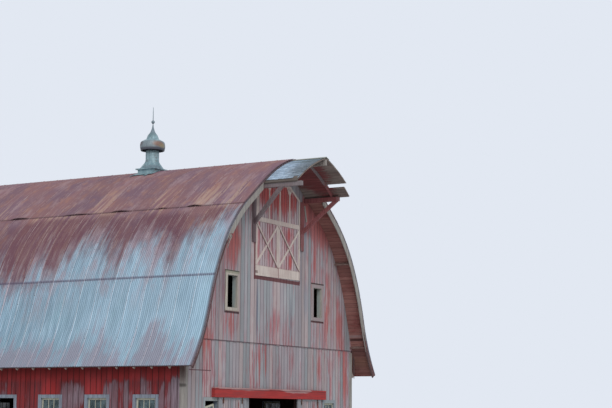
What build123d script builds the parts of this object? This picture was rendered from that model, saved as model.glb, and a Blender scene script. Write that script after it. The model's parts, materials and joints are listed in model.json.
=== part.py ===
from build123d import *
import os
from math import asin, atan2, ceil, cos, degrees, hypot, pi, radians, sin, tan

os.makedirs("parts", exist_ok=True)

# Timber barn with a gothic arch roof, a hay hood, a bi-parting sliding door and ridge ventilators.
# Millimetres. Origin at ground level in the middle of the plan, +X to the right seen from the
# front, the front gable towards -Y, +Z up.

# Plan and walls
barn_width = 10360
barn_length = 20700
wall_thickness = 165
foundation_height = 250
ground_floor_thickness = 100
plate_height = 4110
gable_lap = 18
board_thickness = 25
corner_board_width = 148
corner_board_gap = 60

# Roof line, measured on the metal from the ridge down one slope, slopes in degrees below level
ridge_height = 10135
ridge_slope = 16.7
crown_radius = 5680
rafter_slope = 37.2
straight_run = 1240
haunch_radius = 5020
haunch_slope = 60.7
side_radius = 8300
steepest_slope = 74.3
flare_radius = 6110
eave_slope = 55.1
upper_seam_slope = 39.2
lower_seam_slope = 67.5
seam_lap = 1.6
rake_overhang = 631

# Layers of the roof, from the metal inwards
sheet_thickness = 6
sheet_drip = 35
deck_thickness = 25
cap_thickness = 4
cap_wing_slope = 2.1
seat_gap = 0.3

# Arched rafters and the tails under the eaves
rafter_depth = 150
rafter_width = 40
rafter_bays = 32
first_rafter = 195
rafter_crown_slope = 30
rafter_haunch_slopes = (41, 56)
rafter_foot_slope = 72
tail_depth = 100
tail_top_slope = 70
tail_steps = 2

# Rakes: boards sawn in straight lengths that turn this much from one to the next
sawn_turn = 5
fly_depth = 90
fly_width = 40
barge_depth = 180
barge_thickness = 25
left_barge_end = 7300
right_barge_end = 4900
lookout_width = 45
lookout_depth = 120
lookout_crown_slope = 38.5
lookout_haunch_slope = 58
lookout_flare_slope = 66

# Floor of the mow
mow_floor_height = 3050
mow_floor_thickness = 38
joist_depth = 235
joist_width = 50

# Stable windows, the same on every wall
window_width = 720
window_height = 1000
window_head = 2345
end_window_head = 2280
window_casing = 105
casing_thickness = 25
lining_thickness = 25
side_window_count = 11
first_side_window = 1360
left_end_window = -3730
right_end_window = 3560
sash_width = 55
sash_thickness = 35
sash_setback = 40
glass_thickness = 4

# Damage: the side window that has lost its sash, and the loose sash left of the doorway
bare_side_window = 4
loose_sash_height = 820
loose_sash_tilt = 12

# Windows of the gables
gable_window_x = 2687
gable_window_width = 560
gable_window_height = 1000
gable_window_sill = 5145
gable_casing = 115

# Doorway and sliding doors
doorway_left = -1600
doorway_right = 1476
doorway_head = 2400
leaf_width = 1560
leaf_top = 2470
leaf_bottom = 30
leaf_thickness = 45
leaf_wall_gap = 35
leaf_frame_width = 140
leaf_frame_depth = 23
left_leaf_edge = -1860
right_leaf_edge = 1330
track_left = -3680
track_right = 3090
track_top = 2560
track_height = 40
track_thickness = 6
track_bracket_count = 8
track_bracket_width = 60
track_bracket_thickness = 10
cover_left = -3730
cover_right = 3135
cover_bottom = 2392
cover_top = 2690
cover_depth = 135
hanger_width = 60
hanger_thickness = 6
hanger_drop = 260
hanger_inset = 250
wheel_radius = 45
wheel_width = 14
wheel_sides = 16
axle_radius = 9
axle_sides = 8

# Hay door
hay_door_left = -1341
hay_door_right = 1445
hay_door_bottom = 6360
hay_leaf_top = 8000
hay_rail_height = 144
hay_door_top = 9380
hay_corner_x = 640
hay_corner_z = 400
hay_board = 22
hay_brace = 23
hay_gap = 6
hay_stile = 85
hay_bottom_rail = 236
hay_brace_width = 80
hay_batten = 60
hay_batten_xs = (-1199, -525, 138, 768)
hay_strut_x = 190
hay_strut_z = 300
hay_stop = 50

# Hay hood
hood_reach = 1832
hood_thickness = 35
hood_eave = 140
hood_broken_reach = 1680
hood_gap_low = 9360
hood_gap_high = 9450
hood_beam_width = 100
hood_beam_depth = 190
hood_beam_top = 10030
hood_plate_width = 120
hood_plate_depth = 140
hood_plate_inset = 20
left_plate_reach = 1974
right_plate_reach = 1340
hood_rafter_depth = 90
hood_rafter_width = 45
hood_rafter_reach = 1110
hood_post_width = 200
hood_post_proud = 50
hood_post_bottom = 7300
left_post_x = -1470
right_post_x = 1573
brace_size = 110
brace_foot = 7936
brace_head_reach = 1210
brace_overrun = 300

# Ridge ventilators, laid up of flat strips, their domes given as rings of radius and height
cupola_from_gable = 5030
cupola_base = 700
cupola_base_top = 10190
cupola_apron = 820
cupola_apron_top = 10230
cupola_skirt = 595
cupola_skirt_top = 10514
cupola_neck_radius = 231
cupola_neck_top = 10950
cupola_metal = 12
cupola_sides = 24
drum_radius = 411
drum_bottom = 10882
drum_top = 11184
drum_bulge = 25
drum_rim = 45
drum_strap_count = 4
dome_rings = ((203, 11297), (190, 11375), (145, 11455), (80, 11545), (24, 11713))
finial_sides = 8
finial_radius = 14
ball_height = 11892
ball_radius = 60
ball_shoulder = 35
rod_radius = 9
rod_tip = 12420

# Places worked out from the sizes above
half_width = barn_width / 2
front = -barn_length / 2
rear = barn_length / 2
gable_front = front - gable_lap
gable_rear = rear + gable_lap
deck_depth = 3 * sheet_thickness
rafter_line = deck_depth + deck_thickness
rafter_top = rafter_line + seat_gap
rake_front = front - rake_overhang
rake_rear = rear + rake_overhang


# Each curved stretch of the right-hand slope is its centre and its radius. A point on it at a
# slope and a depth below the metal lies at the radius less the depth. A flare has its centre
# outside the roof, so its radius is negative.
def stretch_from(start, radius, slope):
    centre = (start[0] - radius * sin(radians(slope)), start[1] - radius * cos(radians(slope)))
    return centre, radius


def roof_point(stretch, slope, depth, side=1):
    centre, radius = stretch
    reach = radius - depth
    return side * (centre[0] + reach * sin(radians(slope))), centre[1] + reach * cos(radians(slope))


def slope_at_x(stretch, depth, x):
    centre, radius = stretch
    return degrees(asin((x - centre[0]) / (radius - depth)))


def chord_rise(stretch, depth, turn):
    # How much deeper a flare's corners lie when it is laid up of straight lengths
    return abs(stretch[1] - depth) * (1 / cos(radians(turn / 2)) - 1)


crown = stretch_from((0, ridge_height), crown_radius, ridge_slope)
crown_end = roof_point(crown, rafter_slope, 0)
haunch_start = (
    crown_end[0] + straight_run * cos(radians(rafter_slope)),
    crown_end[1] - straight_run * sin(radians(rafter_slope)),
)
haunch = stretch_from(haunch_start, haunch_radius, rafter_slope)
shoulder = stretch_from(roof_point(haunch, haunch_slope, 0), side_radius, haunch_slope)
flare = stretch_from(roof_point(shoulder, steepest_slope, 0), -flare_radius, steepest_slope)

crown_run = (crown, ridge_slope, rafter_slope)
haunch_run = (haunch, rafter_slope, haunch_slope)
shoulder_run = (shoulder, haunch_slope, steepest_slope)
flare_run = (flare, steepest_slope, eave_slope)
whole_slope = [crown_run, haunch_run, shoulder_run, flare_run]


def draw_run(depth, run, side, start_x):
    # Draws one line of the roof at a depth below the metal and returns its two ends.
    first = None
    last = None
    for stretch, slope_from, slope_to in run:
        if first is None and start_x is not None:
            slope_from = slope_at_x(stretch, depth, start_x)
        start = roof_point(stretch, slope_from, depth, side)
        end = roof_point(stretch, slope_to, depth, side)
        centre = (side * stretch[0][0], stretch[0][1])
        turn_from = degrees(atan2(start[1] - centre[1], start[0] - centre[0]))
        turn_to = degrees(atan2(end[1] - centre[1], end[0] - centre[0]))
        turn = (turn_to - turn_from + 180) % 360 - 180
        if first is None:
            first = start
        elif hypot(start[0] - last[0], start[1] - last[1]) > seat_gap:
            Line(last, start)
        CenterArc(centre, abs(stretch[1] - depth), turn_from, turn)
        last = end
    return first, last


def roof_layer(outer_depth, inner_depth, run, sides=(-1, 1), start_x=None):
    # One closed band of the roof's section for each side, inside a sketch on the XZ plane.
    for side in sides:
        with BuildLine(Plane.XY) as band:
            outer_first, outer_last = draw_run(outer_depth, run, side, start_x)
            inner_first, inner_last = draw_run(inner_depth, run, side, start_x)
            Line(outer_first, inner_first)
            Line(outer_last, inner_last)
        make_face(band.edges())


def sawn_line(depth, run, side, start_x):
    # Corners of one line of the roof laid up of straight lengths, clear of the curve above it.
    corners = []
    for stretch, slope_from, slope_to in run:
        if not corners and start_x is not None:
            slope_from = slope_at_x(stretch, depth, start_x)
        lengths = ceil(abs(slope_to - slope_from) / sawn_turn)
        turn = (slope_to - slope_from) / lengths
        sink = chord_rise(stretch, depth, turn) if stretch[1] < 0 else 0
        points = [roof_point(stretch, slope_from + turn * i, depth + sink, side) for i in range(lengths + 1)]
        if corners and hypot(points[0][0] - corners[-1][0], points[0][1] - corners[-1][1]) < fly_width:
            corners.pop()
        corners += points
    return corners


def sawn_layer(outer_depth, inner_depth, run, start_x=None):
    # The same band as roof_layer, for boards that repeat, with straight edges.
    for side in (-1, 1):
        with BuildLine(Plane.XY) as band:
            outer = sawn_line(outer_depth, run, side, start_x)
            inner = sawn_line(inner_depth, run, side, start_x)
            Polyline(*outer, *inner[::-1], close=True)
        make_face(band.edges())


def block(x0, x1, y0, y1, z0, z1, mode=Mode.ADD):
    with Locations(((x0 + x1) / 2, (y0 + y1) / 2, (z0 + z1) / 2)):
        Box(abs(x1 - x0), abs(y1 - y0), abs(z1 - z0), mode=mode)


pieces = {}

# Foundation curb under the walls, open at the doorway, and the floor inside it
with BuildPart() as foundation:
    block(-half_width, half_width, front, rear, 0, foundation_height)
    inner_x = half_width - wall_thickness
    inner_front = front + wall_thickness
    inner_rear = rear - wall_thickness
    block(-inner_x, inner_x, inner_front, inner_rear, 0, foundation_height, Mode.SUBTRACT)
    block(doorway_left, doorway_right, front, inner_front, 0, foundation_height, Mode.SUBTRACT)
pieces["foundation"] = foundation

with BuildPart() as ground_floor:
    block(-inner_x, inner_x, inner_front, inner_rear, 0, ground_floor_thickness)
    block(doorway_left, doorway_right, front, inner_front, 0, ground_floor_thickness)
pieces["ground_floor"] = ground_floor

# Places of the stable windows: the middle of each sill line on the outer face of its wall
side_pitch = (barn_length - 2 * first_side_window) / (side_window_count - 1)
side_window_ys = [front + first_side_window + side_pitch * i for i in range(side_window_count)]
side_sill = window_head - window_height
end_sill = end_window_head - window_height
left_places = [Location((-half_width, y, side_sill), (0, 0, -90)) for y in side_window_ys]
right_places = [Location((half_width, y, side_sill), (0, 0, 90)) for y in side_window_ys]
front_left_place = Location((left_end_window, front, end_sill), (0, 0, 0))
front_right_place = Location((right_end_window, front, end_sill), (0, 0, 0))
rear_places = [Location((x, rear, end_sill), (0, 0, 180)) for x in (left_end_window, right_end_window)]
window_places = [*left_places, *right_places, front_left_place, front_right_place, *rear_places]
gable_places = [
    Location((side * gable_window_x, face, gable_window_sill), (0, 0, turn))
    for face, turn in ((gable_front, 0), (gable_rear, 180))
    for side in (-1, 1)
]


def cut_holes(places, width, height):
    with Locations(*places):
        Box(
            width + 2 * lining_thickness,
            wall_thickness,
            height + 2 * lining_thickness,
            align=(Align.CENTER, Align.MIN, Align.CENTER),
            mode=Mode.SUBTRACT,
        )


def raised(places, height):
    return [place * Location((0, 0, height / 2)) for place in places]


# Side walls
for name, side, places in (("left_wall", -1, left_places), ("right_wall", 1, right_places)):
    with BuildPart() as side_wall:
        block(side * half_width, side * inner_x, front, rear, foundation_height, plate_height)
        cut_holes(raised(places, window_height), window_width, window_height)
    pieces[name] = side_wall

# Lower end walls, the front one split beside and over the doorway
with BuildPart() as front_wall_left:
    block(-inner_x, doorway_left, front, inner_front, foundation_height, plate_height)
    cut_holes(raised([front_left_place], window_height), window_width, window_height)
pieces["front_wall_left"] = front_wall_left

with BuildPart() as front_wall_right:
    block(doorway_right, inner_x, front, inner_front, foundation_height, plate_height)
    cut_holes(raised([front_right_place], window_height), window_width, window_height)
pieces["front_wall_right"] = front_wall_right

with BuildPart() as front_wall_over_door:
    block(doorway_left, doorway_right, front, inner_front, doorway_head, plate_height)
pieces["front_wall_over_door"] = front_wall_over_door

with BuildPart() as rear_wall:
    block(-inner_x, inner_x, inner_rear, rear, foundation_height, plate_height)
    cut_holes(raised(rear_places, window_height), window_width, window_height)
pieces["rear_wall"] = rear_wall

# Gables: everything under the roof boards and above the plates, lapped over the lower walls
hay_hole = [
    (hay_door_left - hay_gap, hay_door_bottom - hay_gap),
    (hay_door_right + hay_gap, hay_door_bottom - hay_gap),
    (hay_door_right + hay_gap, hay_door_top - hay_corner_z),
    (hay_door_right + hay_gap - hay_corner_x, hay_door_top + hay_gap),
    (hay_door_left - hay_gap + hay_corner_x, hay_door_top + hay_gap),
    (hay_door_left - hay_gap, hay_door_top - hay_corner_z),
]


def gable_wall(back, places, door):
    # back is the Y of the wall's rear face; door is the outline of a hole, or None
    with BuildPart() as wall:
        with BuildSketch(Plane.XZ.offset(-back)):
            with BuildLine():
                left_end = draw_run(rafter_top, whole_slope, -1, 0)[1]
                right_end = draw_run(rafter_top, whole_slope, 1, 0)[1]
                Line(left_end, right_end)
            make_face()
            if door:
                with BuildLine():
                    Polyline(*door, close=True)
                make_face(mode=Mode.SUBTRACT)
        extrude(amount=wall_thickness)
        block(-barn_width, barn_width, -barn_length, barn_length, 0, plate_height, Mode.SUBTRACT)
        cut_holes(raised(places, gable_window_height), gable_window_width, gable_window_height)
    return wall


pieces["front_gable"] = gable_wall(gable_front + wall_thickness, gable_places[:2], hay_hole)
pieces["rear_gable"] = gable_wall(gable_rear, gable_places[2:], None)

# Mow floor and its joists, which butt on the side walls under every rafter
rafter_pitch = (barn_length - 2 * first_rafter) / rafter_bays
rafter_ys = [front + first_rafter + rafter_pitch * i for i in range(rafter_bays + 1)]
rafter_places = [Location((0, y, 0)) for y in rafter_ys]
floor_bottom = mow_floor_height - mow_floor_thickness

with BuildPart() as mow_floor:
    block(-inner_x, inner_x, inner_front, inner_rear, floor_bottom, mow_floor_height)
pieces["mow_floor"] = mow_floor

with BuildPart() as mow_joists:
    with Locations(*rafter_places):
        block(-inner_x, inner_x, -joist_width / 2, joist_width / 2, floor_bottom - joist_depth, floor_bottom)
pieces["mow_joists"] = mow_joists

# Arched rafters, laid up of straight lengths, standing on the plates
rafter_stations = [(crown, rafter_crown_slope)]
rafter_stations += [(haunch, slope) for slope in rafter_haunch_slopes]
rafter_stations += [(shoulder, rafter_foot_slope)]
lean = tan(radians(90 - steepest_slope))


def rafter_leg(depth, height):
    # X of the rafter's straight lowest length at a height
    knee = roof_point(shoulder, rafter_foot_slope, depth)
    return knee[0] + (knee[1] - height) * lean


def rafter_edge(depth, side):
    peak = roof_point(crown, slope_at_x(crown, depth, 0), depth)
    foot = (side * rafter_leg(depth, plate_height), plate_height)
    return [(0, peak[1])] + [roof_point(s, slope, depth, side) for s, slope in rafter_stations] + [foot]


with BuildPart() as rafter:
    with BuildSketch(Plane.XZ):
        with BuildLine():
            outer_left = rafter_edge(rafter_top, -1)
            outer_right = rafter_edge(rafter_top, 1)
            inner_left = rafter_edge(rafter_top + rafter_depth, -1)
            inner_right = rafter_edge(rafter_top + rafter_depth, 1)
            Polyline(*outer_left[::-1], *outer_right[1:], *inner_right[::-1], *inner_left[1:], close=True)
        make_face()
    extrude(amount=rafter_width / 2, both=True)


# Rafter tails that carry the flared eave, sawn to lie on the rafter's back and over the plate
def tail_outline(side):
    step = (eave_slope - tail_top_slope) / tail_steps
    back_depth = rafter_top + chord_rise(flare, rafter_top, step)
    back = [roof_point(flare, tail_top_slope + step * i, back_depth, side) for i in range(tail_steps + 1)]
    under = rafter_top + tail_depth
    wall_slope = slope_at_x(flare, under, half_width)
    tip = roof_point(flare, eave_slope, under, side)
    heel = roof_point(flare, wall_slope, under, side)
    foot = (side * rafter_leg(rafter_top, plate_height), plate_height)
    head = (side * rafter_leg(rafter_top, back[0][1]), back[0][1])
    return [*back, tip, heel, (side * half_width, plate_height), foot, head]


with BuildPart() as tail_pair:
    with BuildSketch(Plane.XZ):
        for side in (-1, 1):
            with BuildLine():
                Polyline(*tail_outline(side), close=True)
            make_face()
    extrude(amount=rafter_width / 2, both=True)

for name, piece in (("rafters", rafter), ("rafter_tails", tail_pair)):
    with BuildPart() as row:
        with Locations(*rafter_places):
            add(piece.part)
    pieces[name] = row

# Roof boards, one shell to a side
for name, side in (("roof_deck_left", -1), ("roof_deck_right", 1)):
    with BuildPart() as deck:
        with BuildSketch(Plane.XZ.offset(-rake_rear)):
            roof_layer(deck_depth, rafter_line, whole_slope, (side,), 0)
        extrude(amount=rake_rear - rake_front)
    pieces[name] = deck

# Metal in three courses, each lapped over the one below it
upper_haunch = (haunch, rafter_slope, upper_seam_slope + seam_lap)
middle_haunch = (haunch, upper_seam_slope, haunch_slope)
middle_shoulder = (shoulder, haunch_slope, lower_seam_slope + seam_lap)
lower_shoulder = (shoulder, lower_seam_slope, steepest_slope)
courses = (
    ("roof_metal_upper", [crown_run, upper_haunch], 0),
    ("roof_metal_middle", [middle_haunch, middle_shoulder], None),
    ("roof_metal_lower", [lower_shoulder, flare_run], None),
)
for order, (name, run, start_x) in enumerate(courses):
    with BuildPart() as metal:
        with BuildSketch(Plane.XZ.offset(-rake_rear - sheet_drip)):
            roof_layer(order * sheet_thickness, (order + 1) * sheet_thickness, run, (-1, 1), start_x)
        extrude(amount=rake_rear - rake_front + 2 * sheet_drip)
    pieces[name] = metal

cupola_ys = (front + cupola_from_gable, rear - cupola_from_gable)
half_base = cupola_base / 2
with BuildPart() as ridge_cap:
    with BuildSketch(Plane.XZ.offset(-rake_rear - sheet_drip)):
        roof_layer(-cap_thickness, 0, [(crown, ridge_slope, ridge_slope + cap_wing_slope)], (-1, 1), 0)
    extrude(amount=rake_rear - rake_front + 2 * sheet_drip)
    for y in cupola_ys:
        block(-half_base, half_base, y - half_base, y + half_base, 0, rod_tip, Mode.SUBTRACT)
pieces["ridge_cap"] = ridge_cap

# Overhang of the roof past each gable: fly rafters, barge boards in front of them, lookouts
hood_side = crown_end[0] + hood_eave * cos(radians(rafter_slope))
with BuildPart() as fly_rafters:
    for y in (rake_rear, rake_front + fly_width):
        with BuildSketch(Plane.XZ.offset(-y)):
            sawn_layer(rafter_top, rafter_line + fly_depth, whole_slope, 0)
        extrude(amount=fly_width)
    block(-hood_side, hood_side, front - barn_length, front, 0, rod_tip, Mode.SUBTRACT)
pieces["fly_rafters"] = fly_rafters

with BuildPart() as barge_boards:
    for y in (rake_rear + barge_thickness, rake_front):
        with BuildSketch(Plane.XZ.offset(-y)):
            sawn_layer(deck_depth, deck_depth + barge_depth, whole_slope, 0)
        extrude(amount=barge_thickness)
    block(-hood_side, hood_side, front - barn_length, front, 0, rod_tip, Mode.SUBTRACT)
    block(-barn_width, 0, front - barn_length, front, 0, left_barge_end, Mode.SUBTRACT)
    block(0, barn_width, front - barn_length, front, 0, right_barge_end, Mode.SUBTRACT)
pieces["barge_boards"] = barge_boards

lookout_length = rake_overhang - gable_lap - fly_width
front_lookouts = [(haunch, lookout_haunch_slope), (flare, lookout_flare_slope)]
rear_lookouts = [(haunch, lookout_crown_slope), *front_lookouts]
with BuildPart() as lookouts:
    for y, places in ((gable_front, front_lookouts), (rake_rear - fly_width, rear_lookouts)):
        with BuildSketch(Plane.XZ.offset(-y)):
            for stretch, slope in places:
                for side in (-1, 1):
                    middle_depth = rafter_top + seat_gap + lookout_depth / 2
                    with Locations(roof_point(stretch, slope, middle_depth, side)):
                        Rectangle(lookout_width, lookout_depth, rotation=-side * slope)
        extrude(amount=lookout_length)
pieces["lookouts"] = lookouts

# Boards over the four corners
with BuildPart() as corner_boards:
    corner_top = plate_height - corner_board_gap
    for sx in (-1, 1):
        for sy in (-1, 1):
            x_out = sx * (half_width + board_thickness)
            y_out = sy * (rear + board_thickness)
            x_in = sx * (half_width - corner_board_width)
            y_in = sy * (rear - corner_board_width)
            block(sx * half_width, x_out, y_in, y_out, foundation_height, corner_top)
            block(x_in, x_out, sy * rear, y_out, foundation_height, corner_top)
pieces["corner_boards"] = corner_boards


# Window joinery, made once at the middle of its opening with the outer wall face at Y = 0
def window_frame(width, height, casing):
    with BuildPart() as frame:
        with BuildSketch(Plane.XZ):
            Rectangle(width + 2 * casing, height + 2 * casing)
            Rectangle(width, height, mode=Mode.SUBTRACT)
        extrude(amount=casing_thickness)
        with BuildSketch(Plane.XZ):
            Rectangle(width + 2 * lining_thickness, height + 2 * lining_thickness)
            Rectangle(width, height, mode=Mode.SUBTRACT)
        extrude(amount=-wall_thickness)
    return frame


def window_sash(width, height):
    with BuildPart() as sash:
        with BuildSketch(Plane.XZ.offset(-sash_setback - sash_thickness)):
            Rectangle(width, height)
            Rectangle(width - 2 * sash_width, height - 2 * sash_width, mode=Mode.SUBTRACT)
        extrude(amount=sash_thickness)
    return sash


def window_pane(width, height):
    with BuildPart() as pane:
        with BuildSketch(Plane.XZ.offset(-sash_setback - (sash_thickness + glass_thickness) / 2)):
            Rectangle(width - 2 * sash_width, height - 2 * sash_width)
        extrude(amount=glass_thickness)
    return pane


stable_frame = window_frame(window_width, window_height, window_casing)
with BuildPart() as window_frames:
    with Locations(*raised(window_places, window_height)):
        add(stable_frame.part)
pieces["window_frames"] = window_frames

gable_frame = window_frame(gable_window_width, gable_window_height, gable_casing)
with BuildPart() as gable_window_frames:
    with Locations(*raised(gable_places, gable_window_height)):
        add(gable_frame.part)
pieces["gable_window_frames"] = gable_window_frames

# The loose sash leans in its opening: its lowest corner on the sill, two more against the sides
tilt = radians(loose_sash_tilt)
loose_sash_width = (window_width - 2 * seat_gap - loose_sash_height * sin(tilt)) / cos(tilt)
loose_rise = (loose_sash_width * sin(tilt) + loose_sash_height * cos(tilt)) / 2 + seat_gap
loose_place = front_left_place * Location((0, 0, loose_rise), (0, -loose_sash_tilt, 0))
sound_places = [*left_places, *right_places, front_right_place, *rear_places]
sound_places.remove(left_places[bare_side_window - 1])
for name, make in (("window_sashes", window_sash), ("window_glass", window_pane)):
    with BuildPart() as set_in:
        with Locations(*raised(sound_places, window_height)):
            add(make(window_width, window_height).part)
        with Locations(loose_place):
            add(make(loose_sash_width, loose_sash_height).part)
    pieces[name] = set_in

# Hay door: two braced leaves below a fixed panel with clipped corners
hay_middle = (hay_door_left + hay_door_right) / 2
hay_leaf_width = (hay_door_right - hay_door_left - hay_gap) / 2
hay_leaf_height = hay_leaf_top - hay_door_bottom
hay_back = gable_front + hay_board
for name, side in (("hay_door_left_leaf", -1), ("hay_door_right_leaf", 1)):
    centre_x = hay_middle + side * (hay_leaf_width + hay_gap) / 2
    centre_z = (hay_door_bottom + hay_leaf_top) / 2
    panel_height = hay_leaf_height - hay_bottom_rail
    brace_angle = degrees(atan2(panel_height, hay_leaf_width))
    with BuildPart() as leaf:
        with BuildSketch(Plane.XZ.offset(-hay_back)):
            with Locations((centre_x, centre_z)):
                Rectangle(hay_leaf_width, hay_leaf_height)
        extrude(amount=hay_board)
        with BuildSketch(Plane.XZ.offset(-gable_front)):
            with Locations((centre_x, centre_z + hay_bottom_rail / 2)):
                Rectangle(2 * hay_leaf_width, hay_brace_width, rotation=brace_angle)
                Rectangle(2 * hay_leaf_width, hay_brace_width, rotation=-brace_angle)
                Rectangle(hay_leaf_width, panel_height, mode=Mode.INTERSECT)
                with Locations((-(hay_leaf_width - hay_stile) / 2, 0), ((hay_leaf_width - hay_stile) / 2, 0)):
                    Rectangle(hay_stile, panel_height)
            with Locations((centre_x, hay_door_bottom + hay_bottom_rail / 2)):
                Rectangle(hay_leaf_width, hay_bottom_rail)
        extrude(amount=hay_brace)
    pieces[name] = leaf

with BuildPart() as hay_door_upper:
    panel = [
        (hay_door_left, hay_leaf_top + hay_gap),
        (hay_door_right, hay_leaf_top + hay_gap),
        (hay_door_right, hay_door_top - hay_corner_z),
        (hay_door_right - hay_corner_x, hay_door_top),
        (hay_door_left + hay_corner_x, hay_door_top),
        (hay_door_left, hay_door_top - hay_corner_z),
    ]
    with BuildSketch(Plane.XZ.offset(-hay_back)):
        with BuildLine():
            Polyline(*panel, close=True)
        make_face()
    extrude(amount=hay_board)
    with BuildSketch(Plane.XZ.offset(-gable_front)):
        with BuildLine():
            Polyline(*panel, close=True)
        make_face()
        offset(amount=-hay_batten, kind=Kind.INTERSECTION, mode=Mode.SUBTRACT)
        with Locations((hay_middle, hay_leaf_top + hay_gap + hay_rail_height / 2)):
            Rectangle(2 * hay_leaf_width + hay_gap, hay_rail_height)
        for x in hay_batten_xs:
            with Locations((x, (hay_leaf_top + hay_door_top) / 2)):
                Rectangle(hay_batten, hay_door_top - hay_leaf_top - 2 * hay_gap)
        # The second and last battens fork below the head
        for x in hay_batten_xs[1::2]:
            for side in (-1, 1):
                strut_length = hypot(hay_strut_x, hay_strut_z)
                strut_angle = degrees(atan2(hay_strut_z, side * hay_strut_x))
                with Locations((x + side * hay_strut_x / 2, hay_door_top - hay_strut_z / 2)):
                    Rectangle(strut_length, hay_batten, rotation=strut_angle)
        with BuildLine():
            Polyline(*panel, close=True)
        make_face(mode=Mode.INTERSECT)
    extrude(amount=hay_brace)
pieces["hay_door_upper"] = hay_door_upper

with BuildPart() as hay_door_frame:
    with BuildSketch(Plane.XZ.offset(-gable_front - wall_thickness)):
        with BuildLine():
            Polyline(*hay_hole, close=True)
        make_face()
        offset(amount=-hay_stop, kind=Kind.INTERSECTION, mode=Mode.SUBTRACT)
    extrude(amount=wall_thickness - hay_board)
pieces["hay_door_frame"] = hay_door_frame

# Hay hood: roof boards carried by a ridge beam, two plates and a pair of bowed rafters. The right
# side has lost a board in front of its rafter, and what is left below the gap is broken off shorter
hood_under = rafter_top + hood_thickness
hood_front = front - hood_reach
beam_half = hood_beam_width / 2
for name, side in (("hood_roof_left", -1), ("hood_roof_right", 1)):
    with BuildPart() as hood_roof:
        with BuildSketch(Plane.XZ.offset(-gable_front)):
            roof_layer(rafter_top, hood_under, [crown_run], (side,), beam_half)
            with Locations(roof_point(crown, rafter_slope, (rafter_top + hood_under) / 2, side)):
                # the straight eave boards, laid past the end of the curve
                lies = (Align.MIN if side > 0 else Align.MAX, Align.CENTER)
                Rectangle(hood_eave, hood_thickness, rotation=-side * rafter_slope, align=lies)
        extrude(amount=gable_front - hood_front)
        if side > 0:
            gap_back = front - hood_rafter_reach
            broken_front = front - hood_broken_reach
            block(0, barn_width, hood_front, gap_back, hood_gap_low, hood_gap_high, Mode.SUBTRACT)
            block(0, barn_width, hood_front, broken_front, 0, hood_gap_low, Mode.SUBTRACT)
    pieces[name] = hood_roof

with BuildPart() as hood_ridge_beam:
    block(-beam_half, beam_half, hood_front, gable_front, hood_beam_top - hood_beam_depth, hood_beam_top)
pieces["hood_ridge_beam"] = hood_ridge_beam

plate_x = crown_end[0] - hood_plate_inset
plate_top = roof_point(crown, rafter_slope, hood_under + hood_rafter_depth)[1]
plate_bottom = plate_top - hood_plate_depth
half_plate = hood_plate_width / 2
with BuildPart() as hood_plates:
    for x, reach in ((-plate_x, left_plate_reach), (plate_x, right_plate_reach)):
        block(x - half_plate, x + half_plate, front - reach, gable_front, plate_bottom, plate_top)
pieces["hood_plates"] = hood_plates

with BuildPart() as hood_rafters:
    with BuildSketch(Plane.XZ.offset(hood_rafter_reach - front)):
        sawn_layer(hood_under + seat_gap, hood_under + hood_rafter_depth, [crown_run], beam_half)
    extrude(amount=-hood_rafter_width)
pieces["hood_rafters"] = hood_rafters

post_face = gable_front - hood_post_proud
half_post = hood_post_width / 2
with BuildPart() as hood_posts:
    for x in (left_post_x, right_post_x):
        block(x - half_post, x + half_post, post_face, gable_front, hood_post_bottom, plate_bottom)
pieces["hood_posts"] = hood_posts

with BuildPart() as hood_braces:
    for post_x, head_x in ((left_post_x, -plate_x), (right_post_x, plate_x)):
        foot = Vector(post_x, post_face, brace_foot)
        head = Vector(head_x, front - brace_head_reach, plate_bottom)
        along = (head - foot).normalized()
        with BuildSketch(Plane(origin=foot - along * brace_overrun, x_dir=(1, 0, 0), z_dir=along)):
            Rectangle(brace_size, brace_size)
        extrude(amount=(head - foot).length + 2 * brace_overrun)
    block(-barn_width, barn_width, post_face, rear, 0, rod_tip, Mode.SUBTRACT)
    block(-barn_width, barn_width, front - barn_length, rear, plate_bottom, rod_tip, Mode.SUBTRACT)
pieces["hood_braces"] = hood_braces

# Door track under its cover, and the two sliding leaves on their trolleys
leaf_back = front - leaf_wall_gap
leaf_face = leaf_back - leaf_thickness
track_y = leaf_back - leaf_thickness / 2
track_bottom = track_top - track_height
half_track = track_thickness / 2
with BuildPart() as door_track:
    block(track_left, track_right, track_y - half_track, track_y + half_track, track_bottom, track_top)
    bracket_step = (track_right - track_left - track_bracket_width) / (track_bracket_count - 1)
    bracket_top = track_bottom + track_bracket_thickness
    for i in range(track_bracket_count):
        x = track_left + bracket_step * i
        block(x, x + track_bracket_width, track_y, front, track_bottom, bracket_top)
pieces["door_track"] = door_track

cover_front = front - cover_depth
with BuildPart() as track_cover:
    block(cover_left, cover_right, cover_front, front, cover_bottom, cover_top)
    block(
        cover_left + board_thickness,
        cover_right - board_thickness,
        cover_front + board_thickness,
        front,
        cover_bottom,
        cover_top - board_thickness,
        Mode.SUBTRACT,
    )
pieces["track_cover"] = track_cover


def sliding_leaf(left_x):
    with BuildPart() as leaf:
        boards_face = leaf_face + leaf_frame_depth
        leaf_height = leaf_top - leaf_bottom
        block(left_x, left_x + leaf_width, boards_face, leaf_back, leaf_bottom, leaf_top)
        with BuildSketch(Plane.XZ.offset(-boards_face)):
            with Locations((left_x + leaf_width / 2, (leaf_bottom + leaf_top) / 2)):
                inner_width = leaf_width - 2 * leaf_frame_width
                Rectangle(leaf_width, leaf_height)
                Rectangle(inner_width, leaf_height - 2 * leaf_frame_width, mode=Mode.SUBTRACT)
                Rectangle(inner_width, leaf_frame_width)
        extrude(amount=leaf_frame_depth)
    return leaf


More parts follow.
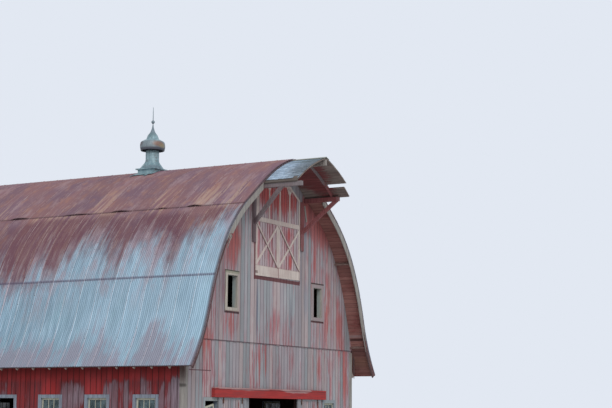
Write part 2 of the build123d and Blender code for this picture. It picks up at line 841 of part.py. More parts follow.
def leaf_hangers(left_x):
    axle_z = track_top + wheel_radius + seat_gap
    half_hanger = hanger_width / 2
    strap_face = leaf_face - hanger_thickness
    with BuildPart() as hangers:
        for x in (left_x + hanger_inset, left_x + leaf_width - hanger_inset):
            strap_top = axle_z + half_hanger
            block(x - half_hanger, x + half_hanger, strap_face, leaf_face, leaf_top - hanger_drop, strap_top)
            with BuildSketch(Plane.XZ.offset(-track_y)):
                with Locations((x, axle_z)):
                    RegularPolygon(wheel_radius, wheel_sides, rotation=180 / wheel_sides, major_radius=False)
            extrude(amount=wheel_width / 2, both=True)
            with BuildSketch(Plane.XZ.offset(-track_y)):
                with Locations((x, axle_z)):
                    RegularPolygon(axle_radius, axle_sides)
            extrude(amount=track_y - strap_face)
    return hangers


left_leaf_x = left_leaf_edge - leaf_width
pieces["left_door_leaf"] = sliding_leaf(left_leaf_x)
pieces["left_door_hangers"] = leaf_hangers(left_leaf_x)
pieces["right_door_leaf"] = sliding_leaf(right_leaf_edge)
pieces["right_door_hangers"] = leaf_hangers(right_leaf_edge)


# Ridge ventilators, made once at X = Y = 0 and set astride the ridge
def ring(radius, height, corners=cupola_sides):
    turns = [2 * pi * i / corners for i in range(corners)]
    return [Vector(radius * cos(turn), radius * sin(turn), height) for turn in turns]


def square_ring(half_side, height):
    # As many corners as a ring has, pushed out to the sides of a square
    spread = [half_side / max(abs(corner.X), abs(corner.Y)) for corner in ring(1, 0)]
    return [Vector(corner.X * out, corner.Y * out, height) for corner, out in zip(ring(1, 0), spread)]


def faceted(*rings):
    # A closed solid of flat faces laid up through the rings, from the lowest to the highest
    faces = [Face(Wire.make_polygon(end)) for end in (rings[0], rings[-1])]
    for low, high in zip(rings, rings[1:]):
        for i in range(len(low)):
            faces.append(Face(Wire.make_polygon([low[i - 1], low[i], high[i]])))
            faces.append(Face(Wire.make_polygon([low[i - 1], high[i], high[i - 1]])))
    return Solid(Shell(faces))


half_skirt = cupola_skirt / 2
neck_bore = cupola_neck_radius - cupola_metal
with BuildPart() as ventilator_base:
    block(-half_base, half_base, -half_base, half_base, ridge_height - half_base, cupola_base_top)
    inner_base = half_base - cupola_metal
    block(-inner_base, inner_base, -inner_base, inner_base, 0, cupola_base_top, Mode.SUBTRACT)
    with BuildSketch(Plane.XZ.offset(-cupola_base)):
        roof_layer(0, crown_radius / 4, [crown_run], (-1, 1), 0)
    extrude(amount=2 * cupola_base, mode=Mode.SUBTRACT)
    with BuildSketch(Plane.XY.offset(cupola_base_top)):
        Rectangle(cupola_apron, cupola_apron)
        Rectangle(cupola_skirt - 2 * cupola_metal, cupola_skirt - 2 * cupola_metal, mode=Mode.SUBTRACT)
    extrude(amount=cupola_apron_top - cupola_base_top)

with BuildPart() as ventilator_neck:
    outer_foot = square_ring(half_skirt, cupola_apron_top)
    inner_foot = square_ring(half_skirt - cupola_metal, cupola_apron_top)
    outer_rings = [ring(cupola_neck_radius, z) for z in (cupola_skirt_top, cupola_neck_top)]
    inner_rings = [ring(neck_bore, z) for z in (cupola_skirt_top, cupola_neck_top)]
    add(faceted(outer_foot, *outer_rings))
    add(faceted(inner_foot, *inner_rings), mode=Mode.SUBTRACT)

with BuildPart() as ventilator_drum:
    drum_bore = drum_radius - cupola_metal
    neck_hole = cupola_neck_radius + seat_gap
    drum_rings = [
        ring(drum_radius, drum_bottom),
        ring(drum_radius + drum_bulge, drum_bottom + drum_rim),
        ring(drum_radius + drum_bulge, drum_top - drum_rim),
        ring(drum_radius, drum_top),
    ]
    add(faceted(*drum_rings))
    add(faceted(ring(drum_bore, drum_bottom), ring(drum_bore, drum_top)), mode=Mode.SUBTRACT)
    with PolarLocations((cupola_neck_radius + drum_bore) / 2, drum_strap_count):
        with Locations((0, 0, (drum_bottom + cupola_neck_top) / 2)):
            Box(drum_radius - cupola_neck_radius, cupola_metal, cupola_neck_top - drum_bottom)
    add(faceted(ring(neck_hole, drum_bottom), ring(neck_hole, drum_top)), mode=Mode.SUBTRACT)

with BuildPart() as ventilator_dome:
    finial_base = dome_rings[-1][1]
    brim_rings = [ring(drum_radius, drum_top), ring(drum_radius, drum_top + cupola_metal)]
    add(faceted(*brim_rings, *[ring(radius, z) for radius, z in dome_rings]))
    finial_rings = [
        (finial_radius, finial_base),
        (finial_radius, ball_height - ball_radius),
        (ball_radius, ball_height - ball_shoulder),
        (ball_radius, ball_height + ball_shoulder),
        (finial_radius, ball_height + ball_radius),
        (rod_radius, rod_tip),
    ]
    add(faceted(*[ring(radius, z, finial_sides) for radius, z in finial_rings]))

ventilators = (
    ("ventilator_bases", ventilator_base),
    ("ventilator_necks", ventilator_neck),
    ("ventilator_drums", ventilator_drum),
    ("ventilator_domes", ventilator_dome),
)
for name, ventilator in ventilators:
    with BuildPart() as pair:
        with Locations(*[(0, y, 0) for y in cupola_ys]):
            add(ventilator.part)
    pieces[name] = pair

for name, piece in pieces.items():
    piece.part.label = name
    export_step(piece.part, f"parts/{name}.step")
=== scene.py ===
import json
import math
import random

import bmesh
import bpy
from mathutils import Matrix, Vector

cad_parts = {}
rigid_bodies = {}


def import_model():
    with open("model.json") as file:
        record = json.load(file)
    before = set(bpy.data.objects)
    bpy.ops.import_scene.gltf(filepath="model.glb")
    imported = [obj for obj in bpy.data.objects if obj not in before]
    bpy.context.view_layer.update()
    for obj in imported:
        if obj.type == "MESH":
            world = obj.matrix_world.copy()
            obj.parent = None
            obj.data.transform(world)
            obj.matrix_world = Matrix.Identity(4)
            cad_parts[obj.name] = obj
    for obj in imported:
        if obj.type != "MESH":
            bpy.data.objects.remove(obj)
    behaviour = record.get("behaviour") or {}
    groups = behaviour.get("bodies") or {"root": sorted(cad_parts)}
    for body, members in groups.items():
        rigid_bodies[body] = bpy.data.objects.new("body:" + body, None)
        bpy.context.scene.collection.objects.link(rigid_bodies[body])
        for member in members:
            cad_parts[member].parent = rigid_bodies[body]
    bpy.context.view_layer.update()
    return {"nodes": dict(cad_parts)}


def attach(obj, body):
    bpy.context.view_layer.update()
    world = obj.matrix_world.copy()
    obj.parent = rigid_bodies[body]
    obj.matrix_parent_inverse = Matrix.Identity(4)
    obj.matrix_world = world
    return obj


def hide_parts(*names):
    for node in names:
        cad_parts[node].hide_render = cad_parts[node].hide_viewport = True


for leftover in list(bpy.data.objects):
    bpy.data.objects.remove(leftover, do_unlink=True)

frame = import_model()
nodes = frame["nodes"]
print("frame loaded:", len(nodes), "nodes")

# Sizes of the barn that many pieces share, in metres
barn = {
    "halfWidth": 5.18,
    "front": -10.35,
    "rear": 10.35,
    "gableLap": 0.018,
    "plateHeight": 4.11,
    "foundationTop": 0.25,
    "deckUnder": 0.043,
    "underDeck": 0.002,
}


# Node helpers. A value that is a socket gets linked, anything else is set on the input
def put(tree, kind, inputs=None, **settings):
    made = tree.nodes.new("ShaderNode" + kind)
    for key, value in settings.items():
        setattr(made, key, value)
    for key, value in (inputs or {}).items():
        if isinstance(value, bpy.types.NodeSocket):
            tree.links.new(value, made.inputs[key])
        else:
            made.inputs[key].default_value = value
    return made


def tint(red, green, blue):
    # a colour as a paint chart gives it, turned into the linear values that Blender keeps
    def linear(value):
        share = value / 255
        return share / 12.92 if share <= 0.04045 else ((share + 0.055) / 1.055) ** 2.4
    return (linear(red), linear(green), linear(blue), 1.0)


def mixed(tree, share, first, second, blend="MIX"):
    made = put(tree, "Mix", {0: share, 6: first, 7: second}, data_type="RGBA", blend_type=blend)
    return made.outputs[2]


def sums(tree, operation, first, second=0.0):
    return put(tree, "Math", {0: first, 1: second}, operation=operation).outputs[0]


def plus(tree, first, second):
    return sums(tree, "ADD", first, second)


def minus(tree, first, second):
    return sums(tree, "SUBTRACT", first, second)


def times(tree, first, second):
    return sums(tree, "MULTIPLY", first, second)


def around(tree, value, size):
    # a noise spread round zero
    return times(tree, minus(tree, value, 0.5), size)


def eased(tree, value, low, high, fromValue=0.0, toValue=1.0):
    made = put(tree, "MapRange", {"Value": value, "From Min": low, "From Max": high,
                                  "To Min": fromValue, "To Max": toValue})
    made.interpolation_type = "SMOOTHSTEP"
    return made.outputs["Result"]


def objectPlace(tree):
    return put(tree, "TexCoord").outputs["Object"]


def meshValue(tree, name):
    return put(tree, "Attribute", attribute_name=name).outputs["Fac"]


def axes(tree, place):
    return put(tree, "SeparateXYZ", {0: place}).outputs


def vectors(tree, operation, first, second):
    return put(tree, "VectorMath", {0: first, 1: second}, operation=operation).outputs[0]


def shaded(tree, colour, light):
    # a colour made darker or lighter by a factor
    grey = put(tree, "CombineColor", {0: light, 1: light, 2: light}).outputs[0]
    return mixed(tree, 1.0, colour, grey, "MULTIPLY")


def cloudy(tree, place, scale, detail=3.0, rough=0.55, shift=None):
    # noise stretched by a scale for each axis, in waves to the metre
    stretched = vectors(tree, "MULTIPLY", place, scale)
    if shift is not None:
        stretched = vectors(tree, "ADD", stretched, shift)
    made = put(tree, "TexNoise", {"Vector": stretched, "Scale": 1.0, "Detail": detail, "Roughness": rough})
    return made.outputs["Fac"]


def blotch(tree, place, centre, size, soft):
    # 1 inside an oval round a place, 0 well outside it
    moved = vectors(tree, "SUBTRACT", place, centre)
    shrunk = vectors(tree, "MULTIPLY", moved, [1 / s for s in size])
    far = put(tree, "VectorMath", {0: shrunk}, operation="LENGTH").outputs["Value"]
    return eased(tree, far, 1 + soft, 1 - soft)


def boxed(tree, place, low, high, soft=0.014):
    # 1 between two corners, 0 outside them. An axis without a limit is None in both
    spot = axes(tree, place)
    share = None
    for axis in range(3):
        if low[axis] is None:
            continue
        inside = times(tree, eased(tree, spot[axis], low[axis] - soft / 2, low[axis] + soft / 2),
                       eased(tree, spot[axis], high[axis] + soft / 2, high[axis] - soft / 2))
        share = inside if share is None else times(tree, share, inside)
    return share


def slanted(tree, place, start, end, half):
    # 1 along a straight line across a front, given as x and z of its two ends
    spot = axes(tree, place)
    alongX, alongZ = end[0] - start[0], end[1] - start[1]
    length = math.hypot(alongX, alongZ)
    across = minus(tree, times(tree, spot[0], alongZ / length), times(tree, spot[2], alongX / length))
    off = minus(tree, across, (start[0] * alongZ - start[1] * alongX) / length)
    low = (min(start[0], end[0]), None, min(start[1], end[1]))
    high = (max(start[0], end[0]), None, max(start[1], end[1]))
    return times(tree, eased(tree, sums(tree, "ABSOLUTE", off), half * 1.3, half * 0.7),
                 boxed(tree, place, low, high))


def newMaterial(name):
    made = bpy.data.materials.new(name)
    made.use_nodes = True
    made.node_tree.nodes.clear()
    return made, made.node_tree


def finishMaterial(tree, colour, rough, bump=None, bumpHeight=0.002, metal=0.0, specular=0.3, alpha=None):
    inputs = {"Base Color": colour, "Roughness": rough, "Metallic": metal, "Specular IOR Level": specular}
    if alpha is not None:
        inputs["Alpha"] = alpha
    if bump is not None:
        raised = put(tree, "Bump", {"Height": bump, "Distance": bumpHeight, "Strength": 1.0})
        inputs["Normal"] = raised.outputs[0]
    shader = put(tree, "BsdfPrincipled", inputs)
    out = put(tree, "OutputMaterial")
    tree.links.new(shader.outputs[0], out.inputs[0])


# Old boards: bare grain with what is left of the paint. The grain runs along one axis, and a
# board's own tone, where the mesh has one, shifts its colour and its grain
grain = {
    # how much of the waves each axis keeps, and waves to the metre
    "up": (1.0, 1.0, 0.05), "along": (1.0, 0.05, 1.0), "across": (0.05, 1.0, 1.0),
    "fineWaves": 170, "streakWaves": 26, "broadWaves": 1.3, "broadLeast": 0.45, "toneShift": (37.0, 53.0, 29.0),
    # where each noise starts and ends to show
    "bare": (0.32, 0.68), "stain": (0.42, 0.66), "paint": (0.35, 0.65), "crack": (0.24, 0.38, 1.0, 0.0),
    # the dirt range sets the dark band at the joints, partly dirt and partly painted shade
    "dirt": (0.55, 1.3), "rough": (0.3, 0.7),
    # how much of the wear follows the broad and the fine noise
    "broadWear": 0.5, "fineWear": 0.14,
}
# Each board has weathered its own way: cool, lilac or warm
boardCasts = {
    "cool": tint(138, 152, 160), "lilac": tint(156, 150, 160), "warm": tint(172, 156, 158),
    "spread": 7.31, "lilacFrom": (0.3, 0.4), "warmFrom": (0.66, 0.74),
}
# Joints between boards laid along the barn, counted down the curve of the roof
roofJoints = {"rise": 0.8, "reach": 0.6, "line": (0.44, 0.48, 0.0, 0.6), "rowLight": (0.9, 1.1)}


def castOver(tree, colour, tone, strength):
    hue = sums(tree, "FRACT", times(tree, tone, boardCasts["spread"]))
    cast = mixed(tree, eased(tree, hue, *boardCasts["lilacFrom"]), boardCasts["cool"], boardCasts["lilac"])
    cast = mixed(tree, eased(tree, hue, *boardCasts["warmFrom"]), cast, boardCasts["warm"])
    return mixed(tree, strength, colour, cast)


def jointed(tree, colour, place, recipe):
    spot = axes(tree, place)
    down = minus(tree, times(tree, spot[2], roofJoints["rise"]),
                 times(tree, sums(tree, "ABSOLUTE", spot[0]), roofJoints["reach"]))
    count = sums(tree, "DIVIDE", down, recipe["seams"])
    off = sums(tree, "ABSOLUTE", minus(tree, sums(tree, "FRACT", count), 0.5))
    colour = mixed(tree, eased(tree, off, *roofJoints["line"]), colour, recipe["crack"])
    row = put(tree, "TexWhiteNoise", {"W": sums(tree, "FLOOR", count)}, noise_dimensions="1D").outputs["Value"]
    return shaded(tree, colour, eased(tree, row, 0.0, 1.0, *roofJoints["rowLight"]))


def boardMaterial(name, recipe):
    paints = {key: recipe[key] and tint(*recipe[key]) for key in
              ("bare", "bareLight", "stainColour", "paint", "paintDeep", "crack", "paintKept")}
    recipe = {**recipe, **paints}
    material, tree = newMaterial(name)
    place = objectPlace(tree)
    tone = meshValue(tree, "tone")
    along = grain[recipe["grain"]]
    moves = {axis: times(tree, tone, by) for axis, by in enumerate(grain["toneShift"])}
    shift = put(tree, "CombineXYZ", moves).outputs[0]
    fine = cloudy(tree, place, [a * grain["fineWaves"] for a in along], 4.0, 0.6, shift)
    streak = cloudy(tree, place, [a * grain["streakWaves"] for a in along], 3.0, 0.6, shift)
    broad = cloudy(tree, place, [max(a, grain["broadLeast"]) * grain["broadWaves"] for a in along], 3.0, 0.6)
    tonePush = minus(tree, tone, 0.5)

    bare = mixed(tree, eased(tree, streak, *grain["bare"]), recipe["bare"], recipe["bareLight"])
    bare = mixed(tree, eased(tree, broad, *grain["stain"], 0.0, recipe["stain"]), bare, recipe["stainColour"])
    if recipe["cast"]:
        bare = castOver(tree, bare, tone, recipe["cast"])
    paint = mixed(tree, eased(tree, streak, *grain["paint"]), recipe["paint"], recipe["paintDeep"])
    left = plus(tree, times(tree, streak, recipe["streaky"]), times(tree, broad, grain["broadWear"]))
    left = plus(tree, left, times(tree, tonePush, recipe["toneSpread"]))
    left = plus(tree, left, times(tree, fine, grain["fineWear"]))
    # the noises are taken off again at their average, so a paintLeft of 0.5 keeps half of the paint
    average = (recipe["streaky"] + grain["broadWear"] + grain["fineWear"]) / 2
    left = plus(tree, left, (recipe["paintLeft"] - 0.5) / 2 - average)
    for centre, size, strength in recipe["patches"]:
        spot = blotch(tree, place, centre, size, recipe["patchSoft"])
        left = plus(tree, left, times(tree, spot, strength))
        if strength > 0 and recipe["paintKept"]:
            paint = mixed(tree, spot, paint, recipe["paintKept"])
    halfEdge = recipe["paintEdge"] / 2
    mask = eased(tree, left, -halfEdge, halfEdge, 0.0, recipe["paintStrength"])
    colour = mixed(tree, mask, bare, paint)
    if recipe["seams"]:
        colour = jointed(tree, colour, place, recipe)
    colour = shaded(tree, colour, eased(tree, tonePush, -0.5, 0.5, recipe["toneDark"], recipe["toneLight"]))
    cracks = eased(tree, fine, *grain["crack"])
    colour = mixed(tree, times(tree, cracks, recipe["crackDepth"]), colour, recipe["crack"])
    # dirt, split edges and painted shade along the joints, which the laid boards mark on their meshes
    edge = plus(tree, meshValue(tree, "edge"), times(tree, streak, 0.5))
    edge = times(tree, eased(tree, edge, *grain["dirt"]), recipe["edgeDirt"])
    colour = mixed(tree, edge, colour, recipe["crack"])
    for centre, size, strength, dark in recipe["shades"]:
        spot = blotch(tree, place, centre, size, 0.6)
        colour = mixed(tree, times(tree, spot, strength), colour, tint(*dark))
    for low, high, strength, dark in recipe["rims"]:
        colour = mixed(tree, times(tree, boxed(tree, place, low, high), strength), colour, tint(*dark))
    for start, end, half, strength, dark in recipe["slants"]:
        line = slanted(tree, place, start, end, half)
        colour = mixed(tree, times(tree, line, strength), colour, tint(*dark))
    height = plus(tree, times(tree, fine, 0.6), times(tree, streak, 0.4))
    height = plus(tree, height, times(tree, mask, 0.25))
    rough = eased(tree, fine, *grain["rough"], *recipe["roughness"])
    finishMaterial(tree, colour, rough, height, recipe["relief"], specular=0.2)
    return material


# What a kind of board is made of, where its own line says nothing else. Lists of places on the barn:
# patches are a centre, half sizes and how much paint is added or lost, shades a centre, half sizes, a
# strength and a colour, rims two corners, a strength and a colour, and slants two ends, a half width, a
# strength and a colour
greyWood = {
    "bare": (140, 138, 144), "bareLight": (170, 166, 170), "stainColour": (148, 130, 134),
    "paint": (148, 84, 82), "paintDeep": (122, 58, 60), "crack": (62, 48, 52),
    # paintKept is the colour of sheltered paint, cast how much a board goes its own way
    "paintKept": None, "cast": None,
    # width of the boards where the material itself has to show the joints between them
    "seams": None,
    "paintLeft": 0.40, "grain": "up", "stain": 0.5, "streaky": 0.55, "toneSpread": 0.16, "toneDark": 0.86,
    "toneLight": 1.1, "paintEdge": 0.1, "paintStrength": 0.9, "patchSoft": 0.45, "crackDepth": 0.45,
    "edgeDirt": 0.7, "roughness": (0.78, 0.92), "relief": 0.004,
    "patches": (), "shades": (), "rims": (), "slants": (),
}


def boards(name, **changes):
    return boardMaterial(name, {**greyWood, **changes})


# Places in short: across or along, up, the two half sizes and the rest of the line
def onFront(*rows):
    return tuple(((x, -10.4, z), (wide, 3.0, high), *rest) for x, z, wide, high, *rest in rows)


def onSide(x, *rows):
    return tuple(((x, y, z), (3.0, long, high), *rest) for y, z, long, high, *rest in rows)


def onWall(near, far, *rows):
    return tuple(((left, near, low), (right, far, high), *rest) for left, low, right, high, *rest in rows)


# Shade along the lower edge of the two braces of the hay door that fall to the right
hayShades = tuple(((left - 0.02, 7.98), (left + 1.37, 6.576), 0.022, 0.75, (98, 76, 78))
                  for left in (-1.341, 0.055))

materials = {
    "weathered_boards": boards(
        "weatheredBoards", stain=0.4, toneSpread=0.2, cast=0.48, paintLeft=0.3, paint=(162, 118, 124),
        paintDeep=(146, 92, 100), paintKept=(160, 86, 84), toneDark=0.84, toneLight=1.14, crack=(84, 68, 76),
        edgeDirt=0.6, streaky=0.85, paintEdge=0.2, patchSoft=0.75,
        patches=onFront(
            (-2.6, 7.2, 0.46, 0.75, 0.24), (3.0, 8.35, 0.9, 0.8, 0.25), (1.9, 8.75, 0.42, 0.8, 0.27),
            (-1.9, 8.95, 0.5, 0.6, 0.12), (3.45, 5.4, 0.3, 0.95, 0.1), (4.35, 4.85, 0.36, 0.95, 0.17),
            (4.62, 3.2, 0.28, 0.95, 0.15), (-2.76, 4.75, 0.2, 0.62, 0.16), (2.5, 7.03, 0.07, 0.5, 0.24),
            (-0.99, 3.4, 0.05, 0.6, 0.24), (-0.63, 3.4, 0.05, 0.6, 0.24), (-1.71, 3.4, 0.1, 0.5, 0.12),
            (2.83, 3.5, 0.12, 0.5, 0.12), (-4.15, 4.15, 0.3, 0.5, 0.14), (0.53, 5.6, 0.5, 0.7, -0.12),
            (-0.2, 5.9, 0.5, 0.7, -0.14), (-1.5, 5.2, 0.6, 0.9, -0.1)),
        # the last of the shades is painted shadow under the gable's lap across the whole front
        shades=(
            *onFront(
                (-1.21, 5.16, 0.06, 0.9, 0.6, (72, 84, 108)), (0.9, 5.0, 0.07, 0.7, 0.45, (88, 94, 108)),
                (-3.25, 5.7, 0.12, 0.7, 0.4, (96, 96, 110)), (1.82, 7.71, 0.14, 0.7, 0.45, (118, 132, 148)),
                (1.91, 5.69, 0.14, 0.6, 0.45, (118, 132, 148)), (0.53, 5.6, 0.06, 0.45, 0.5, (176, 172, 178)),
                (-0.16, 4.84, 0.06, 0.4, 0.5, (158, 90, 98))),
            ((0.0, 0.0, 4.112), (90.0, 90.0, 0.014), 0.75, (66, 46, 54))),
        # dirt and shade under and over the gable windows and round the hay door, and a split low on the left
        rims=onWall(
            -10.6, -10.3,
            (-3.12, 4.965, -2.27, 5.03, 0.9, (66, 44, 48)), (2.25, 4.965, 3.12, 5.03, 0.9, (72, 42, 44)),
            (-3.12, 6.26, -2.27, 6.3, 0.85, (74, 80, 66)), (2.25, 6.26, 3.12, 6.31, 0.9, (62, 52, 52)),
            (-3.125, 5.0, -3.078, 6.28, 0.7, (88, 76, 76)), (-1.43, 6.13, -1.345, 8.1, 0.8, (96, 54, 60)),
            (1.45, 6.2, 1.5, 7.1, 0.75, (96, 54, 60)), (-1.41, 6.14, 1.48, 6.262, 0.9, (92, 48, 52)),
            (-4.95, 3.165, -3.78, 3.195, 0.85, (86, 56, 62)))),
    "red_boards": boards(
        "redBoards", paint=(134, 36, 36), paintDeep=(94, 28, 32), bare=(110, 92, 102), bareLight=(150, 134, 146),
        stainColour=(116, 70, 76), paintLeft=0.74, crack=(38, 18, 20), paintKept=(156, 40, 40),
        patches=(
            *onSide(-5.2, (-6.23, 2.4, 0.5, 0.5, -0.2), (-7.95, 2.42, 0.55, 0.55, -0.22),
                    (-9.0, 2.5, 0.5, 0.55, -0.16), (-9.95, 1.85, 0.5, 1.05, -0.26), (-3.4, 1.6, 0.8, 0.8, -0.16),
                    (-5.37, 2.53, 0.3, 0.5, 0.12), (-7.1, 2.58, 0.35, 0.5, 0.14), (0.0, 3.2, 30.0, 0.3, 0.12)),
            *onSide(5.2, (-7.0, 2.0, 1.4, 0.9, -0.18), (3.0, 2.1, 2.0, 0.8, -0.16))),
        # painted shadow of the eaves along the top of both side walls
        shades=(((-5.2, 0.0, 3.35), (0.4, 60.0, 0.3), 0.5, (70, 22, 22)),
                ((5.2, 0.0, 3.35), (0.4, 60.0, 0.3), 0.5, (70, 22, 22)))),
    "bare_timber": boards(
        "bareTimber", bare=(96, 82, 72), bareLight=(122, 106, 92), stainColour=(84, 66, 56),
        paintLeft=-0.2, crack=(40, 30, 26), grain="across"),
    "pale_timber": boards(
        "paleTimber", bare=(122, 102, 98), bareLight=(152, 134, 128), stainColour=(110, 76, 74),
        paint=(118, 58, 58), paintLeft=0.4, crack=(50, 34, 34), grain="across",
        shades=(
            ((-5.71, 0.0, 3.3), (0.1, 60.0, 0.1), 0.9, (190, 182, 176)),
            ((5.71, 0.0, 3.3), (0.1, 60.0, 0.1), 0.9, (190, 182, 176)),
        )),
    "deck_boards": boards(
        "deckBoards", bare=(146, 102, 96), bareLight=(168, 124, 118), stainColour=(124, 74, 72),
        paint=(150, 78, 76), paintDeep=(116, 58, 58), paintLeft=0.45, crack=(38, 22, 22), grain="along",
        seams=0.14,
        shades=(
            # the first three shades are painted shade: the front ends of the boards under the metal's overhang at
            # the rake, and the undersides of both eaves
            ((0.0, -11.02, 6.0), (90.0, 0.022, 90.0), 0.85, (74, 58, 60)),
            ((-5.5, 0.0, 3.5), (0.32, 60.0, 0.42), 0.85, (38, 26, 28)),
            ((5.5, 0.0, 3.5), (0.32, 9.0, 0.42), 0.6, (38, 26, 28)),
            ((5.2, -10.7, 4.62), (0.6, 0.6, 0.05), 0.8, (150, 128, 128)),
            ((5.25, -10.7, 4.5), (0.6, 0.6, 0.05), 0.85, (52, 30, 32)),
            ((5.45, -10.7, 3.75), (0.5, 0.6, 0.16), 0.55, (118, 88, 74)),
            ((5.4, -10.7, 4.05), (0.5, 0.6, 0.14), 0.5, (66, 44, 46)),
        )),
    "fly_timber": boards(
        "flyTimber", bare=(88, 70, 72), bareLight=(108, 88, 90), stainColour=(80, 54, 56),
        paint=(94, 50, 52), paintDeep=(74, 40, 44), paintLeft=0.3, crack=(34, 22, 24), grain="along"),
    "faded_trim": boards(
        "fadedTrim", bare=(136, 134, 132), bareLight=(166, 164, 160), stainColour=(136, 122, 120),
        paint=(194, 193, 186), paintDeep=(166, 163, 158), paintLeft=0.5,
        # the first shade is painted shadow of the eave on the top of the corner board at the front left
        shades=(((-5.2, -10.28, 3.5), (0.1, 0.3, 0.62), 0.8, (70, 42, 40)),
                ((-5.2, -10.28, 2.72), (0.1, 0.3, 0.05), 0.7, (58, 54, 52)))),
    "blue_casing": boards(
        "blueCasing", bare=(122, 132, 146), bareLight=(150, 160, 174), stainColour=(116, 112, 124),
        paint=(164, 178, 194), paintDeep=(140, 154, 170), paintLeft=0.55,
        shades=(((-3.73, -10.42, 1.8), (0.62, 0.1, 0.8), 0.6, (172, 176, 166)),
                ((3.56, -10.42, 1.8), (0.62, 0.1, 0.8), 0.5, (150, 160, 150)))),
    "window_casing": boards(
        "windowCasing", bare=(166, 160, 154), bareLight=(190, 184, 176), stainColour=(152, 138, 134),
        paint=(216, 212, 200), paintDeep=(196, 190, 180), paintLeft=0.62,
        shades=(
            ((-2.687, -10.25, 5.64), (0.45, 0.09, 0.7), 0.95, (146, 162, 164)),
            ((2.687, -10.25, 5.64), (0.45, 0.09, 0.7), 0.95, (150, 164, 164)),
        ),
        rims=(
            ((2.2, -10.5, 4.9), (3.2, -10.385, 6.4), 0.85, (142, 130, 136)),
            ((-2.37, -10.5, 5.0), (-2.2, -10.385, 6.3), 0.6, (160, 142, 144)),
            ((-3.2, -10.5, 6.2), (-2.2, -10.385, 6.4), 0.6, (128, 130, 112)),
            ((-3.2, -10.5, 5.02), (-2.2, -10.385, 5.055), 0.5, (120, 92, 92)),
        )),
    "cream_sash": boards(
        "creamSash", bare=(142, 140, 128), bareLight=(168, 166, 150), stainColour=(130, 124, 112),
        paint=(206, 206, 190), paintDeep=(182, 182, 168), paintLeft=0.85),
    "faded_door": boards(
        "fadedDoor", bare=(196, 184, 180), bareLight=(220, 210, 204), stainColour=(184, 162, 158),
        paint=(222, 210, 204), paintDeep=(200, 184, 180), paintLeft=0.5, slants=hayShades,
        rims=(((-1.4, -10.7, 6.33), (-1.22, -10.2, 6.42), 0.7, (96, 72, 72)),
              ((0.03, -10.7, 6.2), (0.075, -10.2, 6.62), 0.7, (120, 62, 66)),
              ((-1.4, -10.7, 6.58), (1.5, -10.2, 6.604), 0.4, (130, 104, 104)))),
    "hay_boards": boards(
        "hayBoards", bare=(176, 158, 164), bareLight=(202, 186, 190), stainColour=(176, 144, 150),
        paint=(166, 112, 118), paintDeep=(148, 86, 94), paintLeft=0.36, cast=0.25, crack=(88, 52, 58),
        paintKept=(168, 68, 66), edgeDirt=0.85, streaky=0.8, paintEdge=0.16, patchSoft=0.6, slants=hayShades,
        patches=(
            ((0.1, -10.4, 8.95), (1.5, 3.0, 0.55), 0.22),
            ((0.87, -10.4, 6.86), (0.1, 3.0, 0.2), 0.24),
            ((0.75, -10.4, 7.76), (0.06, 3.0, 0.2), 0.22),
        )),
    "hood_timber": boards(
        "hoodTimber", bare=(122, 112, 116), bareLight=(146, 136, 140), stainColour=(118, 94, 96),
        paint=(152, 92, 94), paintDeep=(126, 68, 70), paintLeft=0.42, crack=(50, 36, 38),
        shades=(((-1.57, -10.42, 7.9), (0.16, 0.16, 1.5), 0.8, (86, 70, 76)),
                ((-1.55, -11.6, 9.2), (0.35, 1.1, 0.3), 0.5, (122, 128, 132))),
        patches=(((2.4, -11.2, 8.9), (1.3, 2.4, 1.1), 0.18), ((1.57, -10.4, 8.2), (0.3, 0.5, 1.2), 0.2),
                 ((-1.7, -11.3, 9.0), (1.5, 2.4, 1.9), -0.22))),
    "red_cover": boards(
        "redCover", bare=(160, 122, 124), bareLight=(184, 150, 150), stainColour=(150, 96, 96),
        paint=(178, 50, 48), paintDeep=(146, 38, 40), paintLeft=1.0, grain="across",
        shades=(((0.0, -10.45, 2.635), (30.0, 3.0, 0.014), 0.6, (92, 40, 44)),),
        patches=(((-1.6, -10.45, 2.7), (2.6, 3.0, 0.07), -0.28), ((1.2, -10.45, 2.68), (0.9, 3.0, 0.1), -0.34))),
    "weathered_door": boards("weatheredDoor", paintLeft=0.3, cast=0.5),
    "wood_shingles": boards(
        "hoodBoards", bare=(124, 114, 110), bareLight=(148, 138, 132), stainColour=(108, 88, 84),
        paint=(136, 72, 74), paintDeep=(108, 54, 58), paintLeft=0.4, crack=(40, 26, 26), grain="along",
        seams=0.13, patches=(((0.2, -11.1, 9.9), (1.9, 0.75, 1.1), 0.2),),
        rims=(((-2.2, -12.3, 9.0), (-1.7, -10.9, 9.35), 0.7, (78, 72, 68)),)),
    "grey_shingles": boards(
        "greyShingles", bare=(156, 180, 204), bareLight=(188, 206, 226), stainColour=(136, 150, 166),
        stain=0.4, paint=(120, 116, 124), paintLeft=0.12, toneDark=0.84, toneLight=1.12, grain="across",
        crack=(72, 78, 90),
        shades=(((-0.8, -12.3, 9.7), (1.6, 0.7, 0.8), 0.72, (90, 94, 96)),
                ((-0.45, -11.6, 9.9), (0.2, 0.5, 0.12), 0.5, (82, 96, 92))),
        # painted shadow under the lower edge of the left ridge board
        rims=(((-0.27, -12.4, 9.8), (-0.18, -10.9, 10.2), 0.8, (66, 76, 68)),)),
    "pale_ridge": boards(
        "paleRidge", bare=(150, 156, 152), bareLight=(176, 180, 172), stainColour=(132, 136, 132),
        paint=(182, 184, 174), paintLeft=0.4, grain="along"),
}

